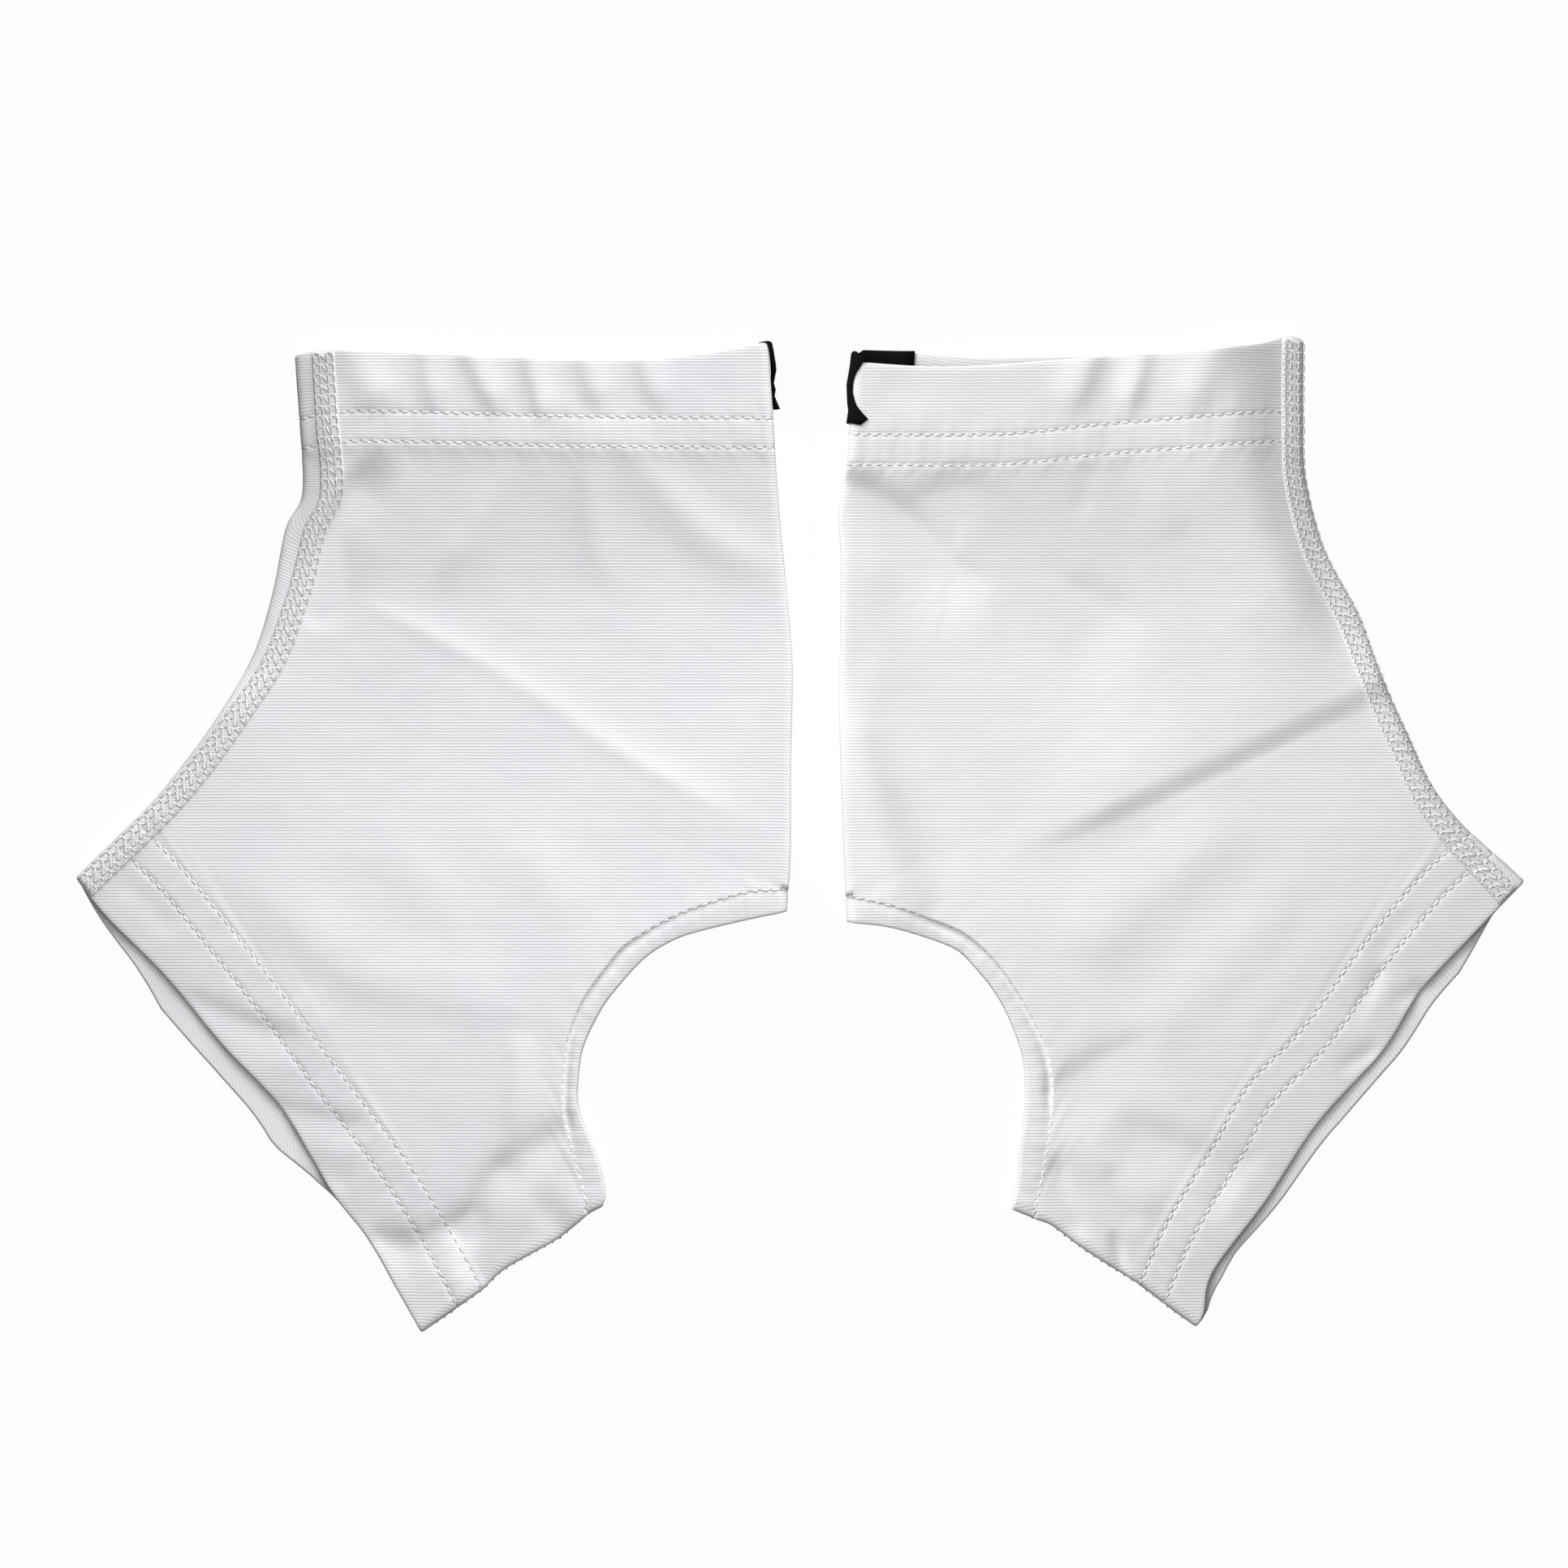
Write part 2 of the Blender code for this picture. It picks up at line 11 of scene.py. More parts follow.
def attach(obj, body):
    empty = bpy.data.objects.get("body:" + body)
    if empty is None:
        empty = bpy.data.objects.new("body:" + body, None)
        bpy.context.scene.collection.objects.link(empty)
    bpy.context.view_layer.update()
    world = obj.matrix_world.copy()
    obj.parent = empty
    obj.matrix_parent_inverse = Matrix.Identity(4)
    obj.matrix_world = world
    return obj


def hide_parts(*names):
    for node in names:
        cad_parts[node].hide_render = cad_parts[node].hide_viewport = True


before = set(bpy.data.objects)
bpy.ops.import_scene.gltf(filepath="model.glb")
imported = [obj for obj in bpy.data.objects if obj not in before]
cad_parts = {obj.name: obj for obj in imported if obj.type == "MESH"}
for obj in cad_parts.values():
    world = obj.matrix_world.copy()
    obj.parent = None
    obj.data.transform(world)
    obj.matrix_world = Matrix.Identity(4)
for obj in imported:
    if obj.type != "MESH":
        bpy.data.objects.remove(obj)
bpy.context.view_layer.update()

# Outlines as they lie, in millimetres: forward from the heel fold, and up from the lowest corner.
leftSpat = {
    "name": "left", "toe": -1, "heelX": -1.9,
    "instep": [(109.5, 215.5), (109.0, 203.0), (108.0, 195.0), (108.0, 184.5), (111.5, 177.5),
               (114.5, 163.0), (119.0, 149.0), (127.5, 134.5), (138.0, 120.5), (145.0, 113.0),
               (153.5, 106.0), (157.7, 100.5)],
    "heel": [(5.0, 218.4), (3.8, 201.0), (3.6, 195.0), (2.3, 177.5), (0.9, 163.0), (-0.3, 147.0),
             (0.0, 127.5), (0.1, 106.0), (0.6, 97.9), (0.9, 92.9)],
    "ankleEdge": [(109.5, 215.5), (105.5, 216.4), (95.5, 216.6), (70.0, 215.4), (44.5, 214.5),
                  (32.0, 214.6), (19.0, 215.9), (5.0, 218.4)],
    "ankleStitch": [(108.0, 195.0), (95.5, 196.5), (70.0, 196.0), (44.5, 195.3), (3.6, 195.0)],
    "openingEdge": [(0.9, 92.9), (7.5, 91.6), (19.0, 88.9), (25.5, 86.8), (32.0, 82.9),
                    (38.2, 76.3), (42.0, 71.1), (45.7, 63.4), (46.8, 57.0), (46.8, 49.5),
                    (43.0, 39.8), (41.0, 32.0), (41.3, 28.0)],
    "openingStitch": [(0.6, 97.9), (9.5, 97.3), (19.0, 94.6), (25.5, 92.1), (32.0, 88.6),
                      (37.0, 85.2), (41.3, 80.0), (45.7, 73.8), (49.0, 66.0), (50.2, 57.0),
                      (50.2, 48.2), (47.3, 37.3), (44.5, 26.4)],
    "sole": [(44.5, 26.4), (51.0, 21.1), (57.3, 17.5), (63.6, 13.8), (68.0, 9.6), (73.6, 4.8),
             (81.4, 0.2)],
    "toeStitch": [(145.0, 113.0), (134.6, 103.0), (122.0, 87.7), (111.1, 73.8), (98.9, 57.1),
                  (85.4, 39.3), (76.3, 24.8), (68.0, 9.6)],
    "toeEdge": [(157.7, 100.5), (150.7, 91.6), (138.0, 78.8), (125.2, 63.4), (112.3, 49.5),
                (101.4, 31.4), (92.9, 20.4), (86.8, 9.6), (81.4, 0.2)],
    # Share of the edge's length, and how far the under side shows past it.
    "anklePeek": [(0.0, 0.0), (1.0, 0.0)],
    "toePeek": [(0.0, 0.0), (0.18, 3.2), (0.27, 5.6), (0.40, 5.0), (0.58, 6.2), (0.66, 2.4),
                (0.72, 0.2), (1.0, 0.0)],
    # Share of the instep's length, and where the flat seam starts round from the fold.
    "seamWrap": [(0.0, 5.0), (0.25, 5.0), (0.42, 3.4), (0.60, 2.2), (0.8, 1.4), (1.0, 1.4)],
    # Each crease: a path that runs towards the heel or down, how far it rises or sinks, and how
    # far it reaches on its lower or toe side, then on its upper or heel side.
    "creases": [
        ([(160, 202), (60, 201), (-45, 202)], 1.6, 17.0, 60.0),
        ([(165, 158), (90, 157), (50, 160), (-45, 165)], -1.4, 50.0, 17.0),
        ([(170, 125), (130, 85), (100, 45), (75, 0), (60, -30)], -0.5, 60.0, 30.0),
        ([(103, 165), (80, 154), (60, 143), (40, 129.5), (20, 118), (2, 109)], 0.36, 12.0, 4.2),
        ([(103, 165), (80, 154), (60, 143), (40, 129.5), (20, 118), (8, 112)], 0.17, 2.2, 2.0),
        ([(90, 195.5), (95, 188), (99, 181.5), (102, 175), (104, 167), (106, 154)], -2.2, 2.2, 6.0),
        ([(110, 250), (109, 203), (108, 190), (113, 170), (119, 149), (128, 134)], -2.2, 4.0, 5.6),
        ([(73, 208), (81, 193), (87, 182), (96, 162)], 0.35, 3.0, 5.5),
        ([(54, 208), (61.5, 192), (67.5, 182), (80, 162)], 0.6, 2.4, 5.0),
        ([(45, 206), (44.5, 188), (43, 175), (40, 162)], 0.5, 3.4, 4.0),
        ([(46, 204), (31, 189), (24.5, 181), (15, 173.5), (-2, 165)], 0.6, 5.0, 5.0),
        ([(128, 108), (110, 91), (102, 83.5), (94, 78.5), (80, 75.5), (46, 69.5)], 0.42, 5.0, 8.0),
        ([(101, 113), (88, 104), (78, 95), (68, 88)], 0.15, 5.0, 7.0),
        ([(63, 109), (52, 98), (45, 91)], 0.2, 5.0, 6.0),
        ([(60, 68), (60.5, 54), (62, 43)], 0.45, 3.0, 4.0),
        ([(43, 50), (50, 44.5), (57, 40), (64, 36), (69, 29), (74, 17)], -0.9, 3.6, 14.0),
        ([(60, 40), (67.5, 31.5), (73, 19)], -0.7, 2.4, 4.0),
        ([(92, 17), (84, 20), (76, 22), (66, 27)], -1.1, 6.5, 3.4),
        ([(46, 46), (56, 33), (63, 17)], 0.35, 3.2, 3.4),
        ([(74, 8), (60, 16.5), (45, 26.5)], -1.1, 6.0, 9.0),
        ([(137, 76), (122, 69.2), (106, 63.5)], -0.48, 4.5, 2.2),
        ([(121, 52), (106, 48), (91, 45)], -0.42, 4.5, 2.2),
        ([(149, 101), (141, 94), (135, 87)], -0.22, 2.6, 3.4),
        ([(108, 37), (96, 32.5)], -0.25, 2.2, 3.4),
        ([(94, 22), (82, 18.5)], -0.45, 1.8, 2.6),
        ([(78, 25), (75, 16), (71, 8)], 0.25, 2.0, 2.0),
        ([(110, 74), (101, 66)], 0.2, 4.0, 4.0),
        # Gathers of the ankle hem above its needle rows.
        ([(101, 226), (96, 214), (88, 201.5)], 0.85, 4.2, 5.0),
        ([(82, 226), (80, 213), (78, 201.5)], 0.55, 2.2, 3.5),
        ([(75.5, 226), (70, 214), (63.5, 201)], 0.8, 2.2, 3.5),
        ([(60.5, 229), (57.5, 214), (53, 198)], 0.8, 2.2, 3.5),
        ([(48, 226), (45, 213), (41.5, 201.5)], 0.65, 2.4, 3.8),
        ([(35, 226), (32, 213), (28, 201.5)], 0.6, 2.4, 4.2),
    ],
    # How much deeper the heel opening's groove gets, at shares of its length.
    "openingGroove": [(0.0, 0.1), (0.25, 0.3), (0.40, 1.0), (0.76, 1.0), (0.82, 0.2), (1.0, 0.1)],
    # Black label at the heel, at shares of its drop: how far it comes up round the fold, and how
    # far it stands off.
    "hemStep": 0.4, "labelDrop": 0.71, "labelRise": 0.2,
    "labelReach": [(0.0, 3.3), (0.08, 2.5), (0.2, 1.5), (0.5, 0.9), (0.8, 0.9), (1.0, 1.2)],
    "labelStand": [(0.0, 0.2), (0.15, 0.7), (0.42, 1.2), (0.66, 0.2), (0.74, 1.0), (0.8, 0.3),
                   (1.0, 1.5)],
}

rightSpat = {
    "name": "right", "toe": 1, "heelX": 9.0,
    "instep": [(102.0, 219.0), (101.6, 205.0), (101.9, 197.0), (102.8, 187.0), (107.0, 172.3),
               (114.4, 158.5), (119.2, 145.2), (125.6, 130.8), (131.2, 119.5), (138.7, 110.6),
               (148.9, 102.1), (150.7, 99.8)],
    "heel": [(2.8, 214.0), (2.0, 202.5), (1.3, 191.4), (-0.4, 181.0), (0.0, 170.4),
             (-0.2, 147.0), (-0.4, 138.2), (0.5, 109.6), (1.1, 96.4), (1.4, 90.6)],
    "ankleEdge": [(102.0, 219.0), (98.4, 219.9), (91.0, 217.9), (74.0, 216.1), (57.3, 215.2),
                  (32.0, 213.2), (17.3, 213.0), (2.8, 214.0)],
    "ankleStitch": [(101.9, 197.0), (84.0, 195.7), (57.3, 193.6), (43.6, 192.1), (30.0, 191.3),
                    (1.3, 191.4)],
    "openingEdge": [(1.4, 90.6), (10.4, 89.5), (19.0, 87.1), (25.5, 84.5), (29.0, 81.2),
                    (33.4, 75.9), (36.8, 70.0), (39.8, 62.0), (40.6, 56.0), (40.4, 48.2),
                    (39.5, 40.9), (39.0, 34.3), (37.7, 27.3)],
    "openingStitch": [(1.1, 96.4), (11.1, 94.3), (19.6, 91.4), (26.8, 88.4), (33.0, 83.2),
                      (38.0, 76.6), (42.7, 68.6), (45.7, 61.4), (46.6, 54.8), (46.4, 48.2),
                      (45.7, 42.9), (44.2, 34.0), (42.2, 25.4)],
    "sole": [(42.2, 25.4), (46.6, 23.7), (53.2, 18.8), (60.5, 14.1), (65.7, 10.8), (71.8, 5.9),
             (78.2, 1.4)],
    "toeStitch": [(138.7, 110.6), (128.0, 101.1), (115.2, 85.9), (102.3, 68.0), (89.5, 54.5),
                  (82.1, 41.4), (72.1, 25.0), (65.7, 10.8)],
    "toeEdge": [(150.7, 99.8), (139.0, 87.5), (127.6, 75.2), (119.5, 62.3), (105.2, 46.4),
                (93.8, 29.3), (82.1, 13.6), (80.0, 4.5), (78.2, 1.4)],
    "anklePeek": [(0.0, 0.0), (0.4, 0.0), (0.68, 1.9), (0.85, 3.2), (1.0, 2.4)],
    "toePeek": [(0.0, 0.0), (0.08, 0.2), (0.20, 3.8), (0.31, 4.0), (0.42, 3.2), (0.54, 3.8),
                (0.72, 2.8), (0.84, 1.8), (0.90, 2.6), (1.0, 0.0)],
    "seamWrap": [(0.0, 0.4), (0.5, 0.6), (0.7, 1.0), (0.85, 1.8), (1.0, 3.6)],
    "creases": [
        ([(160, 202), (60, 199), (-45, 197)], 1.4, 17.0, 60.0),
        ([(165, 156), (90, 160), (50, 163), (-45, 158)], -0.9, 50.0, 18.0),
        ([(165, 125), (122, 80), (93, 40), (75, 5), (60, -30)], -0.5, 60.0, 30.0),
        ([(138, 154.5), (110, 141.3), (90, 131.7), (70, 122.5), (52, 114), (35, 106)], 1.0, 4.2, 15.0),
        ([(125, 142), (100, 131), (80, 121.7), (60, 112.8), (42, 105)], -0.15, 1.3, 2.2),
        ([(-22, 181), (-3, 186.5), (4, 186), (10, 183), (15.5, 178.5), (20, 173.5), (25, 168.5),
          (35, 164)], -2.0, 3.2, 11.0),
        ([(8, 178), (18, 183), (26, 185.5), (32, 184), (36, 180), (40, 174), (45, 168), (52, 162),
          (72, 154)], -1.1, 4.4, 16.0),
        ([(56, 192), (54, 186), (52, 179)], -0.2, 2.5, 2.5),
        ([(69, 194), (71.5, 183), (75, 174)], 0.3, 3.0, 5.0),
        ([(84, 198), (80, 188), (78, 176)], 0.12, 5.0, 6.0),
        ([(102, 270), (102, 200), (103, 188), (108, 172), (114, 158), (124, 132)], -2.4, 12.0, 8.5),
        ([(82, 250), (86, 200), (90, 180), (97, 163), (110, 140)], 1.9, 8.0, 15.0),
        ([(-2, 146), (5, 126), (9.5, 111), (17, 84)], 1.4, 5.5, 6.0),
        ([(6, 176), (7, 160), (8, 145), (8, 134)], 0.3, 6.0, 5.0),
        ([(92, 116), (72, 101), (60, 91), (51, 79)], 0.5, 8.0, 9.0),
        ([(108, 107), (86, 84), (70, 68), (58, 57)], 0.3, 6.0, 8.0),
        ([(116, 98), (96, 74), (83, 54)], 0.2, 6.0, 6.0),
        ([(71, 66), (57, 60), (43, 50)], -0.55, 9.0, 3.2),
        ([(90, 34), (76, 40), (58, 48)], -0.75, 9.0, 4.0),
        ([(72, 26), (58, 36.5), (44, 47)], 0.4, 4.5, 4.5),
        ([(47, 41), (49.5, 31), (54, 20)], -0.5, 1.8, 3.0),
        ([(58.5, 38), (62.5, 30), (66.5, 23)], -0.3, 2.0, 3.0),
        ([(59.8, 23.5), (61.3, 17.5), (62.6, 10)], -0.7, 1.1, 1.6),
        ([(121, 83), (117, 76), (113, 68)], -0.3, 1.3, 2.6),
        ([(131, 77), (121, 72.5)], -0.4, 1.5, 2.2),
        ([(120, 64), (109, 57.5)], -0.4, 1.5, 2.4),
        ([(127, 94), (117, 82)], -0.25, 2.0, 3.0),
        ([(93, 42), (86, 34), (80, 24)], -0.35, 2.5, 3.4),
        ([(20, 204.5), (8, 210)], -0.2, 3.0, 3.0),
        # Gathers of the ankle hem above its needle rows.
        ([(59, 227), (54.3, 213), (49, 200.5)], 0.75, 2.8, 4.6),
        ([(69.5, 227), (65.8, 213), (62.5, 201)], 0.75, 2.2, 3.0),
        ([(86, 227), (80.5, 213), (74.5, 201.5)], 0.65, 4.0, 4.0),
    ],
    "openingGroove": [(0.0, 0.1), (0.13, 0.3), (0.22, 1.0), (0.68, 1.0), (0.74, 0.2), (1.0, 0.1)],
    "hemStep": 0.12, "labelDrop": 0.73, "labelRise": 1.3,
    "labelReach": [(0.0, 5.2), (0.1, 4.4), (0.2, 3.2), (0.3, 2.5), (0.41, 2.1), (0.55, 2.3),
                   (0.7, 3.4), (0.8, 4.9), (0.855, 6.6), (0.91, 5.6), (1.0, 4.2)],
    "labelStand": [(0.0, 0.3), (0.2, 0.6), (0.44, 1.0), (0.7, 0.5), (0.82, 0.1), (0.9, 0.4), (1.0, 0.5)],
}

cloth = {
    "skinHeight": 4.0, "foldRadius": 2.0, "heelSquare": 0.6, "sag": 0.7, "middleUp": 110.0, "leastHeight": 1.7,
    "bodyWall": 0.7, "upperSteps": 112, "underSteps": 42, "arcSteps": 8,
    "heelShare": 0.54, "openingShare": 0.87, "heelDown": 12 / 31, "openingDown": 26 / 31,
    "waver": 0.25, "waverLength": 26.0, "crumple": 0.05, "crumpleLength": 6.0,
}

hems = {
    "wall": 1.0, "leastHeight": 2.2, "needleGap": 6.5, "groove": 0.13, "grooveWidth": 0.5,
    "openingGroove": 0.75, "pucker": 0.09, "innerRows": 7, "curl": 1.5,
    "sink": {"ankle": 0.0, "toe": 0.4, "opening": 0.3},
    "nearRows": [0.0, 0.3, 0.6, 1.0, 1.7, 2.6, 3.6, 4.6, 5.3, 5.8, 6.2, 6.5, 6.8, 7.2, 7.8, 8.6],
    "farRows": 10,
}

upperMiddle = cloth["arcSteps"] + cloth["upperSteps"] // 2
insetColumns = cloth["arcSteps"] + cloth["upperSteps"]
ringColumns = 2 * cloth["arcSteps"] + cloth["upperSteps"] + cloth["underSteps"]


def smoothCurve(points, steps=24):
    knots = np.array(points, float)
    padded = np.vstack([2 * knots[0] - knots[1], knots, 2 * knots[-1] - knots[-2]])
    t = np.arange(1, steps + 1)[:, None] / steps
    dense = [knots[:1]]
    for before, start, end, after in zip(padded, padded[1:], padded[2:], padded[3:]):
        dense.append(0.5 * (2 * start + (end - before) * t
                            + (2 * before - 5 * start + 4 * end - after) * t**2
                            + (3 * start - before - 3 * end + after) * t**3))
    dense = np.vstack(dense)
    lengths = np.concatenate([[0], np.cumsum(np.linalg.norm(np.diff(dense, axis=0), axis=1))])
    return {"points": dense, "shares": lengths / lengths[-1], "length": lengths[-1]}


def pointAt(curve, share):
    share = np.clip(share, 0, 1)
    return np.stack([np.interp(share, curve["shares"], curve["points"][:, k]) for k in (0, 1)],
                    axis=-1)


def shareNear(curve, point):
    gaps = np.linalg.norm(curve["points"] - np.array(point), axis=1)
    return curve["shares"][gaps.argmin()]


def fromTable(rows, share):
    return np.interp(share, [row[0] for row in rows], [row[1] for row in rows])


def unit(vector):
    return vector / (np.linalg.norm(vector, axis=-1, keepdims=True) + 1e-12)


def curvesOf(spat):
    names = ("instep", "heel", "ankleEdge", "ankleStitch", "openingEdge", "openingStitch",
             "sole", "toeStitch", "toeEdge")
    return {name: smoothCurve(spat[name]) for name in names}


def distanceTo(path, points):
    # Distance of each point from a path, signed by its side, and the share of the path nearest to it.
    path = np.array(path, float)
    shape = points.shape[:-1]
    flat = points.reshape(-1, 2)
    best = np.full(len(flat), 1e9)
    side = np.zeros(len(flat))
    share = np.zeros(len(flat))
    lengths = np.linalg.norm(np.diff(path, axis=0), axis=1)
    run = 0.0
    for start, end, length in zip(path, path[1:], lengths):
        line = end - start
        t = np.clip(((flat - start) @ line) / length**2, 0, 1)
        offset = flat - (start + line * t[:, None])
        distance = np.linalg.norm(offset, axis=1)
        nearer = distance < best
        best[nearer] = distance[nearer]
        side[nearer] = np.sign(line[0] * offset[:, 1] - line[1] * offset[:, 0])[nearer]
        share[nearer] = ((run + t * length) / lengths.sum())[nearer]
        run += length
    return best.reshape(shape), side.reshape(shape), share.reshape(shape)


def creaseHeight(spat, points):
    height = np.zeros(points.shape[:-1])
    for path, rise, lower, upper in spat["creases"]:
        distance, side, share = distanceTo(smoothCurve(path, 4)["points"], points)
        fade = np.clip(np.minimum(share, 1 - share) / 0.26, 0, 1)
        fade = fade**2 * (3 - 2 * fade)
        swell = 1 + 0.18 * np.sin(9.0 * share + 3.1 * lower)
        reach = np.where(side > 0, lower, upper) * (0.8 + 0.2 * fade)
        height += rise * fade * swell * np.exp(-((distance / reach) ** 2))
    return height


def notBelow(height, least):
    # Rounds off what would go lower than the layers beneath.
    over = height - least
    return least + (over + np.sqrt(over**2 + 0.09)) / 2


def noiseField(points, length, seed):
    flat = points.reshape(-1, points.shape[-1])
    values = [noise.noise(Vector((p[0] / length, p[1] / length, seed))) for p in flat]
    return np.array(values).reshape(points.shape[:-1])


def ringPoints(spat, line, under, joint, tangent, isOpen=False):
    # One row round the tube: instep fold, upper side, heel fold, under side. It gives the plan, how
    # much of the upper side's height each point has, and where it is on the flat cut, whose ribs
    # turn over at the instep's joint.
    radius = cloth["foldRadius"]
    arcSteps = cloth["arcSteps"]
    length = np.linalg.norm(line(1.0) - line(0.0))
    inset = radius / length
    endShare = 1.0 if isOpen else 1 - inset
    quarter = radius * math.pi / 2

    def arc(share, inShare, first, last, square=1.0):
        angle = np.radians(np.linspace(first, last, arcSteps + 1))[:, None]
        blend = 0.5 + 0.5 * np.sign(angle) * np.abs(np.sin(angle)) ** square
        edge = (line(share) + under(share)) / 2
        inner = under(inShare) * (1 - blend) + line(inShare) * blend
        return np.hstack([inner + (edge - inner) * np.abs(np.cos(angle)) ** square, blend])

    outward = unit(line(0.0) - line(inset))
    turned = 2 * (tangent @ outward) * tangent - outward
    jointPlan = line(inset) + outward * (quarter - joint)
    front = arc(0.0, inset, -90, 90)
    frontRound = radius * np.radians(np.linspace(-90, 90, arcSteps + 1))
    frontFlat = np.where((frontRound < joint)[:, None],
                         jointPlan + (joint - frontRound)[:, None] * turned,
                         line(inset) + outward * (quarter - frontRound)[:, None])
    u = inset + (endShare - inset) * columnShares("upper")
    plan = line(u)
    upper = np.hstack([plan, np.ones((len(u), 1))])
    roundUpper = quarter + (u - inset) * length
    upperFlat = np.where((roundUpper < joint)[:, None],
                         jointPlan + (joint - roundUpper)[:, None] * turned, plan)
    if isOpen:
        end = np.array([*line(1.0), 1.0])
        low = np.array([*under(1.0), 0.0])
        back = np.vstack([np.tile(end, (arcSteps, 1)), low[None]])
        backFlat = back[:, :2]
    else:
        back = arc(1.0, endShare, 90, -90, cloth["heelSquare"])
        away = unit(line(1.0) - line(endShare))
        turn = quarter - np.abs(radius * np.radians(np.linspace(90, -90, arcSteps + 1)))
        backFlat = line(endShare) + away * turn[:, None]
    u = endShare + (inset - endShare) * columnShares("under")
    plan = under(u)
    underSide = np.hstack([plan, np.zeros((len(u), 1))])
    shift = frontFlat[0] - under(inset)
    underFlat = plan + shift * (1 - u)[:, None]
    return (np.vstack([front, upper, back, underSide]),
            np.vstack([frontFlat, upperFlat, backFlat, underFlat]))


def columnShares(side):
    steps = cloth[side + "Steps"]
    shares = np.linspace(0, 1, steps + 1)[1:-1]
    if side == "upper":  # closer together towards the heel opening
        shares = 1 - (1 - shares) ** 1.12
    return shares


def skinNormals(grid, openRows=None):
    along = np.gradient(grid, axis=0)
    around = np.roll(grid, -1, axis=1) - np.roll(grid, 1, axis=1)
    normals = unit(np.cross(along, around))
    if openRows is not None:
        for row in np.nonzero(openRows)[0]:
            normals[row, insetColumns:insetColumns + cloth["arcSteps"]] = (
                normals[row, insetColumns - 1])
            normals[row, insetColumns + cloth["arcSteps"]] = (
                normals[row, insetColumns + cloth["arcSteps"] + 1])
    if normals[:, upperMiddle, 2].mean() < 0:
        normals = -normals
    return normals


def toFrame(spat, points):
    x = spat["heelX"] + spat["toe"] * points[..., 0]
    return np.stack([x, points[..., 1] - cloth["middleUp"], points[..., 2]], axis=-1) / 1000


def meshPiece(name, points, faces, flat=None, marks=None):
    mesh = bpy.data.meshes.new(name)
    used = sorted({i for face in faces for i in face})
    place = {old: new for new, old in enumerate(used)}
    mesh.from_pydata([tuple(points[i]) for i in used], [],
                     [[place[i] for i in face] for face in faces])
    if flat is not None:
        corners = np.zeros(len(mesh.loops), int)
        mesh.loops.foreach_get("vertex_index", corners)
        layer = mesh.uv_layers.new(name="flatCut")
        layer.data.foreach_set("uv", (flat[used] * 0.004)[corners].astype(np.float32).ravel())
    for label, values in (marks or {}).items():
        attribute = mesh.attributes.new(label, "FLOAT", "POINT")
        attribute.data.foreach_set("value", values[used].astype(np.float32))
    mesh.shade_smooth()
    piece = bpy.data.objects.new(name, mesh)
    bpy.context.scene.collection.objects.link(piece)
    return piece


def turnOut(piece, wholeMesh=True):
    # Points the faces outwards: all round on a closed mesh, and upwards on an open sheet.
    bm = bmesh.new()
    bm.from_mesh(piece.data)
    if wholeMesh:
        bmesh.ops.recalc_face_normals(bm, faces=bm.faces)
    else:
        top = sorted(bm.faces, key=lambda face: face.calc_center_median().z)[-len(bm.faces) // 4:]
        if sum(face.normal.z * face.calc_area() for face in top) < 0:
            bmesh.ops.reverse_faces(bm, faces=bm.faces)
    bm.to_mesh(piece.data)
    bm.free()


def thicken(piece, wall):
    solidify = piece.modifiers.new("Wall", "SOLIDIFY")
    solidify.thickness = wall / 1000
    solidify.offset = -1
    solidify.use_even_offset = True
    solidify.use_quality_normals = True
    bpy.context.view_layer.update()
    made = bpy.data.meshes.new_from_object(
        piece.evaluated_get(bpy.context.evaluated_depsgraph_get()))
    piece.modifiers.clear()
    piece.data = made


def gridFaces(rows, columns, closedRows=False, closedColumns=True, skip=None):
    faces = []
    for r in range(rows if closedRows else rows - 1):
        for c in range(columns if closedColumns else columns - 1):
            if skip and skip(r, c):
                continue
            r2, c2 = (r + 1) % rows, (c + 1) % columns
            faces.append([r * columns + c, r2 * columns + c,
                          r2 * columns + c2, r * columns + c2])
    return faces


def ringRun(row):
    # Share of a closed row's length at each of its points, and the length.
    steps = np.linalg.norm(np.roll(row, -1, axis=0) - row, axis=1)
    run = np.concatenate([[0], np.cumsum(steps)[:-1]])
    return run / steps.sum(), steps.sum()


def stitchCount(length):
    return int(length / threads["pitch"]) + 1


def groove(distance):
    return -hems["groove"] * np.exp(-((distance / hems["grooveWidth"]) ** 2))


def puckers(distance, along, seed):
    wave = np.sin(along * 1.9 + seed) + np.sin(along * 0.83 + 2 * seed)
    return hems["pucker"] * wave * np.exp(-distance / 2.4) * (1 - np.exp(-((distance / 0.9) ** 2)))


def placeUnder(grid, normals, offset):
    # Moves the skin along its normals. The under side rests on the table, so nothing goes below it.
    moved = grid + normals * offset[..., None]
    moved[..., 2] = np.maximum(moved[..., 2], 0.0)
    return moved


threads = {
    "pitch": 2.3, "radius": 0.145, "sway": 0.16, "lift": 0.07,
    "bandWidth": 5.2, "bandRise": 0.30, "needleRows": [0.3, 1.7, 3.4, 4.8], "loopRadius": 0.135,
    "soleShare": (0.10, 0.92),
}


def bodyRows(curves):
    # The rows of the body from the ankle's needle row to the toe's, closer together at both.
    heel = np.concatenate([[0, 0.003, 0.006, 0.010, 0.017], np.linspace(0.024, 1, 92)])
    opening = np.linspace(0, 1, 75)[1:-1]
    sole = np.concatenate([np.linspace(0, 0.93, 22), [0.955, 0.972, 0.984, 0.992, 1.0]])
    return ([("heel", t) for t in heel] + [("opening", t) for t in opening]
            + [("sole", t) for t in sole])


